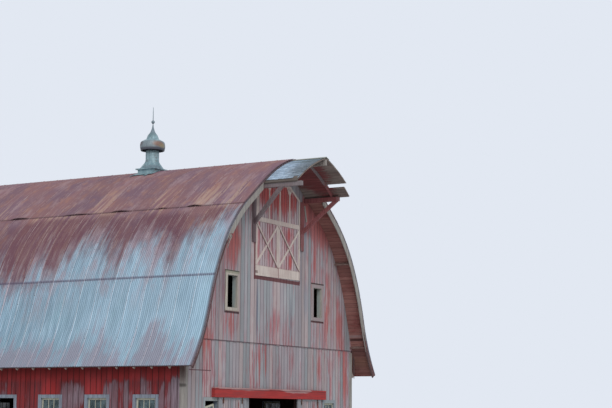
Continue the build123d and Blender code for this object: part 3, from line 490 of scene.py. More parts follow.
# Rough concrete, dusty glass and rusted iron: noises in waves to the metre, and colours
concrete = {
    "broad": (1.2, 1.2, 2.5), "grit": (60, 60, 60), "light": tint(150, 146, 138), "dark": tint(118, 114, 108),
    "gritColour": tint(92, 88, 84), "relief": 0.006,
}
glass = {
    "dust": (5, 5, 3), "clear": tint(34, 52, 58), "dusty": tint(84, 104, 110), "rough": (0.08, 0.4),
    "alpha": (0.72, 0.95), "relief": 0.001,
}
iron = {"flake": (24, 24, 24), "dark": tint(62, 48, 44), "rust": tint(104, 66, 48), "rough": (0.55, 0.85)}


def concreteMaterial():
    material, tree = newMaterial("roughConcrete")
    place = objectPlace(tree)
    broad = cloudy(tree, place, concrete["broad"], 4.0)
    grit = cloudy(tree, place, concrete["grit"], 3.0, 0.7)
    colour = mixed(tree, eased(tree, broad, 0.35, 0.65), concrete["light"], concrete["dark"])
    colour = mixed(tree, eased(tree, grit, 0.55, 0.7, 0.0, 0.4), colour, concrete["gritColour"])
    height = plus(tree, times(tree, grit, 0.5), broad)
    rough = eased(tree, grit, 0.3, 0.7, 0.8, 0.95)
    finishMaterial(tree, colour, rough, height, concrete["relief"], specular=0.2)
    return material


def glassMaterial():
    material, tree = newMaterial("dustyGlass")
    dust = cloudy(tree, objectPlace(tree), glass["dust"], 4.0, 0.65)
    colour = mixed(tree, eased(tree, dust, 0.35, 0.7), glass["clear"], glass["dusty"])
    rough = eased(tree, dust, 0.35, 0.7, *glass["rough"])
    alpha = eased(tree, dust, 0.35, 0.75, *glass["alpha"])
    finishMaterial(tree, colour, rough, dust, glass["relief"], specular=0.6, alpha=alpha)
    return material


def ironMaterial():
    material, tree = newMaterial("rustedIron")
    flake = cloudy(tree, objectPlace(tree), iron["flake"], 4.0, 0.65)
    colour = mixed(tree, eased(tree, flake, 0.35, 0.65), iron["dark"], iron["rust"])
    finishMaterial(tree, colour, eased(tree, flake, 0.3, 0.7, *iron["rough"]), flake, metal=0.4)
    return material


materials["concrete"] = concreteMaterial()
materials["old_glass"] = glassMaterial()
materials["door_iron"] = ironMaterial()
print("wood, concrete, glass and iron mixed")

# Roof metal. The sheets carry their place on the roof as a UV map: metres along the barn and
# metres down the slope. "rust" is how far down past the end of the rust a point lies
roofPaint = {
    "zinc": tint(140, 168, 186), "zincDull": tint(120, 146, 162), "zincBright": tint(164, 190, 208),
    "zincTeal": tint(128, 164, 176), "zincShade": tint(104, 132, 152),
    "rust": tint(134, 100, 104), "rustPurple": tint(120, 94, 108), "rustTan": tint(158, 118, 104),
    "rustPale": tint(154, 130, 136), "tanStreak": tint(178, 152, 136), "rustDeep": tint(98, 62, 74),
    "orange": tint(150, 94, 72), "paleStreak": tint(168, 152, 152), "blush": tint(150, 128, 138),
    "eavePink": tint(142, 136, 150), "edgeDark": tint(66, 54, 62),
}
# Waves to the metre along the barn and down the slope, detail, roughness and shift
roofNoises = {
    "fine": ((38, 1.4, 1), 4.0, 0.6), "streak": ((7.5, 0.45, 1), 4.0, 0.6), "broad": ((0.9, 0.55, 1), 4.0, 0.6),
    "mottle": ((3.2, 1.5, 1), 4.0, 0.65), "brush": ((17, 0.8, 1), 5.0, 0.65),
    "wash": ((1.7, 0.5, 1), 5.0, 0.7, (13.0, 7.0, 0.0)),
}
# Washes over a colour: the noise, where it starts and ends to show, its strength and its paint
zincWashes = (
    ("wash", 0.48, 0.62, 0.45, "zincTeal"), ("brush", 0.5, 0.36, 0.6, "zincShade"),
    ("brush", 0.52, 0.66, 0.75, "zincBright"), ("fine", 0.52, 0.7, 0.5, "zincBright"),
    ("broad", 0.5, 0.68, 0.45, "zincBright"),
)
rustWashes = (("mottle", 0.52, 0.66, 0.5, "rustTan"), ("wash", 0.5, 0.66, 0.65, "rustPale"))
paleWashes = (("fine", 0.56, 0.72, 0.5, "paleStreak"), ("brush", 0.56, 0.7, 0.55, "paleStreak"))
# Where a wear starts and ends, with its weakest and strongest where they aren't 0 and 1. A "Run" is
# in metres down the slope, an "Along" in metres along the barn, a "Reach" in metres past the rust's
# end, and single numbers and "Moves" say how far a noise moves the line
roofWear = {
    "zinc": (0.36, 0.62), "rust": (0.38, 0.6), "brightAlong": (-2.5, -9.0, 0.0, 0.35),
    "veil": (0.44, 0.6), "veilReach": (2.6, 0.0, 0.0, 0.8), "veilBrush": 0.4,
    "eave": (0.45, 1.1, 0.0, 0.8), "eaveRun": (7.5, 9.1), "eaveMoves": {"streak": 2.4, "broad": 2.6},
    "tan": (0.72, 1.05), "tanRun": (1.4, 2.9, 0.0, 0.6), "tanStreak": 2.4,
    "deep": (0.35, 1.05, 0.0, 0.75), "deepRun": (3.3, 4.2), "deepTone": 0.9,
    "orange": (0.5, 0.62), "orangeReach": (-0.7, -0.1), "orangeStrength": 0.45,
    "rustEnd": (0.95, -0.85), "rustMoves": {"streak": 1.9, "wash": 1.8, "mottle": 1.7, "brush": 1.7},
    "rakeAlong": (-10.92, -10.97, 0.0, 0.75), "ribStrength": 0.55, "sheetLight": (0.93, 1.06),
    "rough": (0.5, 0.82), "metal": (0.35, 0.05), "relief": 0.0015,
}
# Dirt and shadow at the laps between the courses: start and end down the slope, strength and colour
roofSeams = (
    (3.47, 3.52, 0.5, tint(88, 64, 70)),
    (6.34, 6.39, 0.6, tint(92, 84, 106)),
)
seamSoft = 0.03


def washed(tree, colour, noises, washes):
    for name, low, high, strength, paint in washes:
        colour = mixed(tree, eased(tree, noises[name], low, high, 0.0, strength), colour, roofPaint[paint])
    return colour


def zincColour(tree, noises, along, down, rustReach):
    shine = eased(tree, noises["streak"], *roofWear["zinc"])
    colour = mixed(tree, shine, roofPaint["zincDull"], roofPaint["zinc"])
    colour = washed(tree, colour, noises, zincWashes)
    colour = mixed(tree, eased(tree, along, *roofWear["brightAlong"]), colour, roofPaint["zincBright"])
    veil = plus(tree, noises["wash"], around(tree, noises["brush"], roofWear["veilBrush"]))
    veil = times(tree, eased(tree, veil, *roofWear["veil"]), eased(tree, rustReach, *roofWear["veilReach"]))
    colour = mixed(tree, veil, colour, roofPaint["blush"])
    eave = eased(tree, down, *roofWear["eaveRun"])
    for key, size in roofWear["eaveMoves"].items():
        eave = plus(tree, eave, around(tree, noises[key], size))
    return mixed(tree, eased(tree, eave, *roofWear["eave"]), colour, roofPaint["eavePink"])


def rustColour(tree, noises, tone, down, rustReach):
    red = eased(tree, noises["broad"], *roofWear["rust"])
    colour = mixed(tree, red, roofPaint["rustPurple"], roofPaint["rust"])
    colour = washed(tree, colour, noises, rustWashes)
    tan = plus(tree, tone, around(tree, noises["streak"], roofWear["tanStreak"]))
    tan = times(tree, eased(tree, tan, *roofWear["tan"]), eased(tree, down, *roofWear["tanRun"]))
    colour = mixed(tree, tan, colour, roofPaint["tanStreak"])
    deep = plus(tree, eased(tree, down, *roofWear["deepRun"]), around(tree, tone, roofWear["deepTone"]))
    colour = mixed(tree, eased(tree, deep, *roofWear["deep"]), colour, roofPaint["rustDeep"])
    orange = times(tree, eased(tree, rustReach, *roofWear["orangeReach"]),
                   eased(tree, noises["mottle"], *roofWear["orange"]))
    colour = mixed(tree, times(tree, orange, roofWear["orangeStrength"]), colour, roofPaint["orange"])
    return washed(tree, colour, noises, paleWashes)


def roofMaterial(name, laid=True):
    material, tree = newMaterial(name)
    if laid:
        place = put(tree, "UVMap", uv_map="laid").outputs["UV"]
    else:
        spot = axes(tree, objectPlace(tree))
        place = put(tree, "CombineXYZ", {0: spot[1], 1: spot[2]}).outputs[0]
    rustReach, tone, rib = [meshValue(tree, key) for key in ("rust", "tone", "rib")]
    along, down = axes(tree, place)[:2]
    noises = {key: cloudy(tree, place, *values) for key, values in roofNoises.items()}
    zinc = zincColour(tree, noises, along, down, rustReach)
    rusty = rustColour(tree, noises, tone, down, rustReach)
    end = rustReach
    for key, size in roofWear["rustMoves"].items():
        end = plus(tree, end, around(tree, noises[key], size))
    mask = eased(tree, end, *roofWear["rustEnd"])
    colour = mixed(tree, mask, zinc, rusty)
    for seamStart, seamEnd, strength, seamColour in roofSeams:
        onSeam = times(tree, eased(tree, down, seamStart - seamSoft, seamStart),
                       eased(tree, down, seamEnd + seamSoft, seamEnd, 0.0, strength))
        colour = mixed(tree, onSeam, colour, seamColour)
    # painted shade along the ends of the sheets at the front rake
    if laid:
        colour = mixed(tree, eased(tree, along, *roofWear["rakeAlong"]), colour, roofPaint["edgeDark"])
    # pale line along the lap ribs: partly less rust on the galvanised edges, partly painted highlight on the raised
    # laps
    colour = mixed(tree, times(tree, rib, roofWear["ribStrength"]), colour, roofPaint["paleStreak"])
    colour = shaded(tree, colour, eased(tree, tone, 0.0, 1.0, *roofWear["sheetLight"]))
    rough = eased(tree, mask, 0.0, 1.0, *roofWear["rough"])
    metal = eased(tree, mask, 0.0, 1.0, *roofWear["metal"])
    height = plus(tree, noises["fine"], noises["mottle"])
    finishMaterial(tree, colour, rough, height, roofWear["relief"], metal=metal, specular=0.35)
    return material


laidMetal = roofMaterial("sheetMetal")
edgeMetal = roofMaterial("sheetEdges", laid=False)
for slotName in ("rusted_metal", "streaked_metal", "galvanised_metal"):
    materials[slotName] = edgeMetal

# Metal of the ventilators. Bands are heights where a darker cap, drum and lower lip start and end
ventilatorPaint = {
    "dull": tint(116, 144, 154), "bright": tint(150, 176, 184), "pale": tint(172, 186, 186),
    "rust": tint(116, 98, 92), "cap": tint(96, 96, 108), "drum": tint(120, 112, 116), "lip": tint(66, 62, 78),
    "capBand": (11.46, 11.66, 0.0, 0.55), "capWander": 0.2,
    "drumBand": ((10.86, 10.9), (11.24, 11.16)), "drumStrength": 0.45,
    "lipBand": ((10.86, 10.88), (10.99, 10.93)), "lipStrength": 0.75,
    # stains: centre, half sizes, strength and colour
    "stains": (
        ((-0.2, -5.72, 11.08), (0.24, 0.16, 0.09), 0.8, tint(134, 100, 84)),
        ((-0.02, -5.76, 11.02), (0.16, 0.12, 0.07), 0.7, tint(150, 136, 104)),
        ((-0.34, -5.1, 11.1), (0.09, 0.14, 0.07), 0.7, tint(98, 84, 88)),
        ((-0.2, -5.5, 10.27), (0.4, 0.4, 0.07), 0.5, tint(96, 104, 116)),
        ((-0.12, -5.32, 11.42), (0.12, 0.16, 0.1), 0.5, tint(92, 112, 116)),
        ((-0.3, 5.0, 11.05), (0.2, 0.2, 0.09), 0.7, tint(134, 100, 84)),
    ),
}


def ventilatorMaterial():
    material, tree = newMaterial("ventilatorMetal")
    place = objectPlace(tree)
    streak = cloudy(tree, place, (9, 9, 1.6), 4.0, 0.6)
    spots = cloudy(tree, place, (4.5, 4.5, 6.5), 4.0, 0.65)
    fine = cloudy(tree, place, (45, 45, 9), 3.0, 0.6)
    colour = mixed(tree, eased(tree, streak, 0.35, 0.65), ventilatorPaint["dull"], ventilatorPaint["bright"])
    colour = mixed(tree, eased(tree, fine, 0.52, 0.7, 0.0, 0.4), colour, ventilatorPaint["pale"])
    colour = mixed(tree, eased(tree, spots, 0.58, 0.68, 0.0, 0.6), colour, ventilatorPaint["rust"])
    height = axes(tree, place)[2]
    cap = plus(tree, height, times(tree, streak, ventilatorPaint["capWander"]))
    colour = mixed(tree, eased(tree, cap, *ventilatorPaint["capBand"]), colour, ventilatorPaint["cap"])
    for part in ("drum", "lip"):
        low, high = ventilatorPaint[part + "Band"]
        band = times(tree, eased(tree, height, *low), eased(tree, height, *high))
        colour = mixed(tree, times(tree, band, ventilatorPaint[part + "Strength"]), colour, ventilatorPaint[part])
    for centre, size, strength, stainColour in ventilatorPaint["stains"]:
        stain = times(tree, blotch(tree, place, centre, size, 0.5), strength)
        colour = mixed(tree, stain, colour, stainColour)
    rough = eased(tree, spots, 0.4, 0.7, 0.5, 0.8)
    finishMaterial(tree, colour, rough, fine, 0.0015, metal=0.25, specular=0.35)
    return material


materials["ventilator_metal"] = ventilatorMaterial()
print("roof and ventilator metal mixed")


def dress(node, material):
    node.data.materials.clear()
    node.data.materials.append(material)


for cadNode in nodes.values():
    dress(cadNode, materials[cadNode.data.materials[0].name.split(".")[0]])

# Underlay of the walls, dark between the boards: its dark colour is partly painted shade in the gaps
underBoards = boards("underBoards", bare=(70, 54, 54), bareLight=(88, 70, 68),
                     stainColour=(60, 40, 40), paint=(66, 34, 36), paintDeep=(52, 28, 30),
                     paintLeft=0.4, crack=(26, 18, 18))
for name in ("left_wall", "right_wall", "front_wall_left", "front_wall_right", "front_wall_over_door",
             "rear_wall", "front_gable", "rear_gable"):
    dress(nodes[name], underBoards)
for name, finish in (("window_frames", "blue_casing"), ("gable_window_frames", "window_casing"),
                     ("fly_rafters", "fly_timber")):
    dress(nodes[name], materials[finish])


# Roof line of the right-hand slope: crown, straight, haunch, side and flare, from the ridge down
roofLine = {
    "ridge": 10.135, "ridgeSlope": 16.7, "crownRadius": 5.68, "rafterSlope": 37.2, "straight": 1.24,
    "haunchRadius": 5.02, "haunchSlope": 60.7, "sideRadius": 8.3, "steepest": 74.3,
    "flareRadius": 6.11, "eaveSlope": 55.1, "step": 0.6,
}


def traceRoof():
    # list of (metres down, x, z, slope) along the metal
    found = [(0.0, 0.0, roofLine["ridge"], roofLine["ridgeSlope"])]

    def walk(radius, slopeTo):
        run, x, z, slope = found[-1]
        cx = x - radius * math.sin(math.radians(slope))
        cz = z - radius * math.cos(math.radians(slope))
        count = max(2, int(abs(slopeTo - slope) / roofLine["step"]))
        for i in range(1, count + 1):
            now = slope + (slopeTo - slope) * i / count
            turned = math.radians(abs(now - slope)) * abs(radius)
            found.append((run + turned, cx + radius * math.sin(math.radians(now)),
                          cz + radius * math.cos(math.radians(now)), now))

    walk(roofLine["crownRadius"], roofLine["rafterSlope"])
    run, x, z, slope = found[-1]
    length = roofLine["straight"]
    found.append((run + length, x + length * math.cos(math.radians(slope)),
                  z - length * math.sin(math.radians(slope)), slope))
    walk(roofLine["haunchRadius"], roofLine["haunchSlope"])
    walk(roofLine["sideRadius"], roofLine["steepest"])
    walk(-roofLine["flareRadius"], roofLine["eaveSlope"])
    return found


roofTrace = traceRoof()


def roofAt(run, lift=0.0, side=1):
    # x, z and slope of the roof at a run down the slope, lifted off the metal
    for low, high in zip(roofTrace, roofTrace[1:]):
        if run <= high[0] or high is roofTrace[-1]:
            share = (run - low[0]) / (high[0] - low[0])
            x, z, slope = [low[k] + (high[k] - low[k]) * share for k in (1, 2, 3)]
            return (side * (x + lift * math.sin(math.radians(slope))),
                    z + lift * math.cos(math.radians(slope)), slope)


underLine = []
for run, x, z, slope in roofTrace:
    sink = barn["deckUnder"] + barn["underDeck"]
    underLine.append((x - sink * math.sin(math.radians(slope)), z - sink * math.cos(math.radians(slope))))


def readTable(table, at):
    # value at a place in a table of (place, value), straight between its lines
    for low, high in zip(table, table[1:]):
        if low[0] <= at <= high[0]:
            return low[1] + (high[1] - low[1]) * (at - low[0]) / (high[0] - low[0])
    return table[0][1] if at < table[0][0] else table[-1][1]


def underRoof(x):
    # height of the underside of the roof boards at a distance from the middle
    return readTable(underLine, abs(x))


def makePiece(name, points, faces, material, body="barn", smooth=False):
    mesh = bpy.data.meshes.new(name)
    mesh.from_pydata(points, [], faces)
    mesh.materials.append(material)
    if smooth:
        mesh.polygons.foreach_set("use_smooth", [True] * len(mesh.polygons))
    mesh.update()
    piece = bpy.data.objects.new(name, mesh)
    bpy.context.scene.collection.objects.link(piece)
    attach(piece, body)
    return piece


def closedPiece(name, points, faces, finish, body="barn", smooth=False):
    # a piece in one of the finishes, with all its faces turned outwards
    piece = makePiece(name, points, faces, materials[finish], body, smooth)
    shape = bmesh.new()
    shape.from_mesh(piece.data)
    bmesh.ops.recalc_face_normals(shape, faces=shape.faces)
    shape.to_mesh(piece.data)
    shape.free()
    return piece


def loft(points, faces, rings, shut=True):
    # rings are lists of points with the same count, joined one to the next and capped at both ends. A
    # ring that isn't shut has no face between its last point and its first
    base, count = len(points), len(rings[0])
    for ring in rings:
        points.extend(ring)
    for r in range(len(rings) - 1):
        a, b = base + r * count, base + (r + 1) * count
        for k in range(count if shut else count - 1):
            n = (k + 1) % count
            faces.append((a + k, a + n, b + n, b + k))
    faces.append(tuple(base + k for k in range(count - 1, -1, -1)))
    faces.append(tuple(base + (len(rings) - 1) * count + k for k in range(count)))


def prism(points, faces, outline, nearY, farY):
    # an outline across and up, between two places along the barn
    loft(points, faces, [[(x, y, z) for x, z in outline] for y in (nearY, farY)])


def setTone(piece, values, name="tone"):
    # one number for each point of the mesh
    layer = piece.data.attributes.new(name, "FLOAT", "POINT")
    layer.data.foreach_set("value", values)


# Corrugated sheets over the CAD metal, in the three courses, lapped at every ninth wave
sheets = {
    "wave": 0.0678, "pointsPerWave": 8, "depth": 0.013, "lift": 0.002, "wavesPerSheet": 9, "lapRib": 0.009,
    "ends": (-11.01, 11.01), "rowLength": 0.36, "fewestRows": 4, "tones": 60, "rustWander": 0.5,
    # the lee side reads the rust's end backwards and a little stretched, and its finish 40 m further on
    "leeAlong": -0.9, "leeShift": 40,
    "courses": {
        "Upper": {"from": 0.06, "to": 3.52, "rise": 0.012, "slot": "rusted_metal"},
        "Middle": {"from": 3.43, "to": 6.37, "rise": 0.006, "slot": "streaked_metal"},
        "Lower": {"from": 6.28, "to": 9.345, "rise": 0.0, "slot": "galvanised_metal"},
    },
    # where the rust ends on the weather side: metres along the barn, metres down the slope
    "rustEnds": ((-11.0, 3.95), (-10.6, 4.15), (-10.2, 4.2), (-9.5, 4.4), (-9.25, 5.2), (-8.8, 5.0),
                 (-8.3, 4.95), (-7.7, 5.25), (-7.0, 5.4), (-6.5, 5.1), (-6.1, 4.8), (-5.5, 4.85), (-5.2, 5.3),
                 (-4.9, 5.6), (-4.1, 5.65), (-3.4, 6.05), (-2.5, 6.1), (0.0, 6.15), (2.0, 5.7), (4.5, 5.2),
                 (7.0, 5.5), (9.0, 4.8), (11.0, 4.3)),
    # lifted lower edges of the upper course: middle, half length, height
    "tears": ((-2.05, 0.42, 0.055), (-4.5, 0.62, 0.035), (-6.25, 0.4, 0.05), (-7.9, 0.22, 0.03),
              (-9.12, 0.3, 0.055), (1.4, 0.5, 0.04), (5.2, 0.35, 0.05)),
}


def laySheets(name, course):
    rng = random.Random(name)
    start, end = sheets["ends"]
    perWave = sheets["pointsPerWave"]
    columns = int((end - start) / sheets["wave"] * perWave)
    rows = max(sheets["fewestRows"], math.ceil((course["to"] - course["from"]) / sheets["rowLength"]))
    points, faces, uvs, rust, tones, ribs = [], [], [], [], [], []
    for side in (-1, 1):
        sheetTones = [rng.random() for i in range(sheets["tones"])]
        sheetEnds = [rng.uniform(-sheets["rustWander"], sheets["rustWander"]) for i in range(sheets["tones"])]
        base = len(points)
        for i in range(columns + 1):
            along = start + sheets["wave"] / perWave * i
            wave = i // perWave
            sheetAt = wave // sheets["wavesPerSheet"] % sheets["tones"]
            waveShape = (0.5 + 0.5 * math.cos(2 * math.pi * i / perWave)) * sheets["depth"]
            # rib marks the lap ribs for their pale line, partly less rust and partly painted highlight
            onLap = wave % sheets["wavesPerSheet"] == 0 and i % perWave <= perWave // 4
            rib = 1.0 if onLap and i % perWave == 0 else 0.5 if onLap else 0.0
            rustEnd = readTable(sheets["rustEnds"], along if side < 0 else along * sheets["leeAlong"])
            rustEnd += sheetEnds[sheetAt]
            for j in range(rows + 1):
                run = course["from"] + (course["to"] - course["from"]) * j / rows
                lift = sheets["lift"] + waveShape + course["rise"] + (sheets["lapRib"] if onLap else 0.0)
                if j == rows and name == "Upper":
                    for middle, half, height in sheets["tears"]:
                        lift += height * max(0.0, 1 - ((along - middle) / half) ** 2)
                x, z = roofAt(run, lift, side)[:2]
                points.append((x, along, z))
                uvs.append((along + (0 if side < 0 else sheets["leeShift"]), run))
                rust.append(run - rustEnd)
                tones.append(sheetTones[sheetAt])
                ribs.append(rib)
        for i in range(columns):
            for j in range(rows):
                a = base + i * (rows + 1) + j
                b = a + rows + 1
                faces.append((a, b, b + 1, a + 1) if side > 0 else (a, a + 1, b + 1, b))
    piece = makePiece("roofSheets" + name, points, faces, laidMetal, smooth=True)
    setTone(piece, tones)
    setTone(piece, rust, "rust")
    setTone(piece, ribs, "rib")
    layer = piece.data.uv_layers.new(name="laid")
    flat = []
    for loop in piece.data.loops:
        flat.extend(uvs[loop.vertex_index])
    layer.data.foreach_set("uv", flat)


for courseName, courseSizes in sheets["courses"].items():
    laySheets(courseName, courseSizes)
print("corrugated sheets laid")


# Boards nailed over a flat wall. "across" and "up" are the wall's own axes, "place" turns them and
# how far a point stands off the wall into the barn's frame
boardCut = {
    "wander": 0.002, "ragged": 0.012, "shortest": 0.02, "narrowest": 0.06, "clear": 0.002,
    # the dark band at each joint is partly dirt and partly painted shade
    "chamfer": 0.003, "dirtAndShadeWidth": 0.024,
}


def boardSpans(wall, left, right, drop):
    # foot and head of what is left of a board once the openings are cut out
    spans = [((wall["bottom"](left) - drop, wall["bottom"](right) - drop), (wall["top"](left), wall["top"](right)))]
    middle = (left + right) / 2
    for hole in wall.get("holes", ()):
        if not hole["breaks"][0] < middle < hole["breaks"][-1]:
            continue
        low = (hole["low"](left), hole["low"](right))
        high = (hole["high"](left), hole["high"](right))
        rest = []
        for foot, head in spans:
            if sum(head) <= sum(low) or sum(foot) >= sum(high):
                rest.append((foot, head))
                continue
            if sum(foot) < sum(low):
                rest.append((foot, low))
            if sum(head) > sum(high):
                rest.append((high, head))
        spans = rest
    return [(foot, head) for foot, head in spans if sum(head) - sum(foot) >= boardCut["shortest"]]


def boardRing(left, right, proud, first, last):
    # a board seen from above, chamfered where its own edges are
    chamfer = min(boardCut["chamfer"], (right - left) / 4)
    dirtShadeWidth = min(boardCut["dirtAndShadeWidth"], (right - left) / 3)
    leftCut = chamfer if left == first else 0.0
    rightCut = chamfer if right == last else 0.0
    return [(left, 0.0), (left, proud - leftCut), (left + leftCut, proud), (left + dirtShadeWidth, proud),
            (right - dirtShadeWidth, proud), (right - rightCut, proud), (right, proud - rightCut), (right, 0.0)]


def addBoard(points, faces, place, ring, foot, head):
    left, right = ring[0][0], ring[-1][0]
    rings = []
    for (upLeft, upRight), least in ((foot, 0.0), (head, foot[0])):
        rise = (upRight - upLeft) / (right - left)
        rings.append([place(across, off, max(upLeft + rise * (across - left), least)) for across, off in ring])
    loft(points, faces, rings, shut=False)


def layBoards(name, wall, finish, seed, body="barn"):
    rng = random.Random(seed)
    points, faces, tones, edges = [], [], [], []
    at = wall["from"]
    while at < wall["to"] - boardCut["shortest"]:
        width = rng.uniform(*wall["widths"])
        if wall["to"] - at - width < boardCut["narrowest"]:
            width = wall["to"] - at
        first, last = at, at + width - wall["gap"]
        at += width
        tone = rng.random()
        proud = wall["proud"] + rng.uniform(-boardCut["wander"], boardCut["wander"])
        drop = rng.uniform(0, wall.get("ragged", boardCut["ragged"]))
        cuts = {first, last}
        for hole in wall.get("holes", ()):
            cuts.update(c for c in hole["breaks"] if first + boardCut["clear"] < c < last - boardCut["clear"])
        cuts = sorted(cuts)
        for left, right in zip(cuts, cuts[1:]):
            ring = boardRing(left, right, proud, first, last)
            onLeft, onRight = float(left == first), float(right == last)
            for foot, head in boardSpans(wall, left, right, drop):
                addBoard(points, faces, wall["place"], ring, foot, head)
                edges += [onLeft, onLeft, onLeft, 0.0, 0.0, onRight, onRight, onRight] * 2
                tones += [tone] * len(ring) * 2
    piece = closedPiece(name, points, faces, finish, body)
    setTone(piece, tones)
    setTone(piece, edges, "edge")


def level(height):
    return lambda across: height


def rectHole(middle, width, low, high):
    # an opening with its lining, given by the clear size inside the lining
    half = width / 2 + windows["lining"]
    return {"breaks": (middle - half, middle + half), "low": level(low - windows["lining"]),
            "high": level(high + windows["lining"])}


windows = {
    "width": 0.72, "height": 1.0, "head": 2.345, "endHead": 2.28, "lining": 0.025, "sash": 0.055,
    "setback": 0.04, "thick": 0.035, "count": 11, "firstAlong": 1.36, "bareSide": 4,
    "endPlaces": (-3.73, 3.56), "gableX": 2.687, "gableWidth": 0.56, "gableSill": 5.145,
    # glazing bars: width, depth, chamfer and depth of the level one as shares, uprights across the sash
    "bar": 0.022, "barDepth": 0.022, "barNick": 0.28, "levelDepth": 0.96, "uprights": (-1 / 6, 1 / 6),
    # the sash that leans in its opening
    "looseTilt": 12, "looseHeight": 0.82, "looseClear": 0.0006,
}
windowPitch = (2 * barn["rear"] - 2 * windows["firstAlong"]) / (windows["count"] - 1)
sideWindowYs = [barn["front"] + windows["firstAlong"] + windowPitch * i for i in range(windows["count"])]

# Hay door: its opening, its two cut corners, and the timber round its boards
hayDoor = {
    "left": -1.341, "right": 1.445, "bottom": 6.36, "leafTop": 8.0, "top": 9.38,
    "cornerX": 0.64, "cornerZ": 0.4, "gap": 0.006,
    "stile": 0.085, "meeting": 0.088, "footRail": 0.236, "upperSide": 0.06, "upperFoot": 0.15, "upperHead": 0.07,
}


def hayHead(x):
    left, right = hayDoor["left"] - hayDoor["gap"], hayDoor["right"] + hayDoor["gap"]
    inside = min(x - left, right - x)
    top = hayDoor["top"] + hayDoor["gap"]
    if inside < hayDoor["cornerX"]:
        return top - hayDoor["cornerZ"] * (1 - max(inside, 0) / hayDoor["cornerX"])
    return top


hayHole = {
    "breaks": (hayDoor["left"] - hayDoor["gap"], hayDoor["left"] + hayDoor["cornerX"],
               hayDoor["right"] - hayDoor["cornerX"], hayDoor["right"] + hayDoor["gap"]),
    "low": level(hayDoor["bottom"] - hayDoor["gap"]), "high": hayHead,
}
gableHoles = [rectHole(side * windows["gableX"], windows["gableWidth"], windows["gableSill"],
                       windows["gableSill"] + windows["height"]) for side in (-1, 1)]
endHoles = [rectHole(x, windows["width"], windows["endHead"] - windows["height"], windows["endHead"])
            for x in windows["endPlaces"]]
sideHoles = [rectHole(y, windows["width"], windows["head"] - windows["height"], windows["head"])
             for y in sideWindowYs]
doorway = {"left": -1.6, "right": 1.476, "head": 2.4}
doorHole = {"breaks": (doorway["left"], doorway["right"]), "low": level(-1), "high": level(doorway["head"])}


def facingFront(wallY):
    return lambda across, off, z: (across, wallY - off, z)


def facingRear(wallY):
    return lambda across, off, z: (across, wallY + off, z)


def facingSide(side):
    return lambda across, off, z: (side * (barn["halfWidth"] + off), across, z)


gableWall = {
    "from": -5.62, "to": 5.62, "widths": (0.17, 0.235), "gap": 0.007, "proud": 0.008, "ragged": 0.02,
    "bottom": level(barn["plateHeight"] - 0.004), "top": underRoof,
}
lowerWall = {
    "from": -barn["halfWidth"], "to": barn["halfWidth"], "widths": (0.17, 0.235), "gap": 0.007, "proud": 0.007,
    "bottom": level(barn["foundationTop"] - 0.012), "top": level(barn["plateHeight"] - 0.002),
}
sideWall = {**lowerWall, "from": barn["front"], "to": barn["rear"], "holes": sideHoles}
frontGableY = barn["front"] - barn["gableLap"]
for pieceName, wall, place, holes, seed in (
        ("frontGableBoards", gableWall, facingFront(frontGableY), [*gableHoles, hayHole], 11),
        ("rearGableBoards", gableWall, facingRear(-frontGableY), gableHoles, 12),
        ("frontBoards", lowerWall, facingFront(barn["front"]), [*endHoles, doorHole], 13),
        ("rearBoards", lowerWall, facingRear(barn["rear"]), endHoles, 14)):
    layBoards(pieceName, {**wall, "place": place, "holes": holes}, "weathered_boards", seed)
for side, pieceName, seed in ((-1, "leftBoards", 15), (1, "rightBoards", 16)):
    layBoards(pieceName, {**sideWall, "place": facingSide(side)}, "red_boards", seed)
print("walls boarded")


# Glazing bars: two upright and one level in each sash, chamfered on their show sides
def barBetween(points, faces, start, end, width, depth, normal):
    along = (end - start).normalized()
    across = along.cross(normal).normalized()
    half, deep, nick = width / 2, depth / 2, width * windows["barNick"]
    ring = [(-half, -deep + nick), (-half + nick, -deep), (half - nick, -deep), (half, -deep + nick),
            (half, deep - nick), (half - nick, deep), (-half + nick, deep), (-half, deep - nick)]
    loft(points, faces, [[tuple(tip + across * a + normal * b) for a, b in ring] for tip in (start, end)])


def windowPlaces():
    # matrix of each sound sash: its own x across, y inwards and z up, at the middle of its opening
    middle = windows["height"] / 2
    found = []
    for side in (-1, 1):
        for i, y in enumerate(sideWindowYs):
            if side < 0 and i == windows["bareSide"] - 1:
                continue
            place = Matrix.Translation((side * barn["halfWidth"], y, windows["head"] - middle))
            found.append(place @ Matrix.Rotation(math.radians(90 * side), 4, "Z"))
    height = windows["endHead"] - middle
    found.append(Matrix.Translation((windows["endPlaces"][1], barn["front"], height)))
    for x in windows["endPlaces"]:
        found.append(Matrix.Translation((x, barn["rear"], height)) @ Matrix.Rotation(math.pi, 4, "Z"))
    return found


def sashBars(points, faces, place, width, height):
    openWidth, openHeight = width - 2 * windows["sash"], height - 2 * windows["sash"]
    deep = windows["setback"] + windows["thick"] / 2
    normal = place.to_3x3() @ Vector((0, 1, 0))
    for share in windows["uprights"]:
        ends = [place @ Vector((share * openWidth, deep, s * openHeight / 2)) for s in (-1, 1)]
        barBetween(points, faces, *ends, windows["bar"], windows["barDepth"], normal)
    ends = [place @ Vector((s * openWidth / 2, deep, 0)) for s in (-1, 1)]
    barBetween(points, faces, *ends, windows["bar"], windows["barDepth"] * windows["levelDepth"], normal)


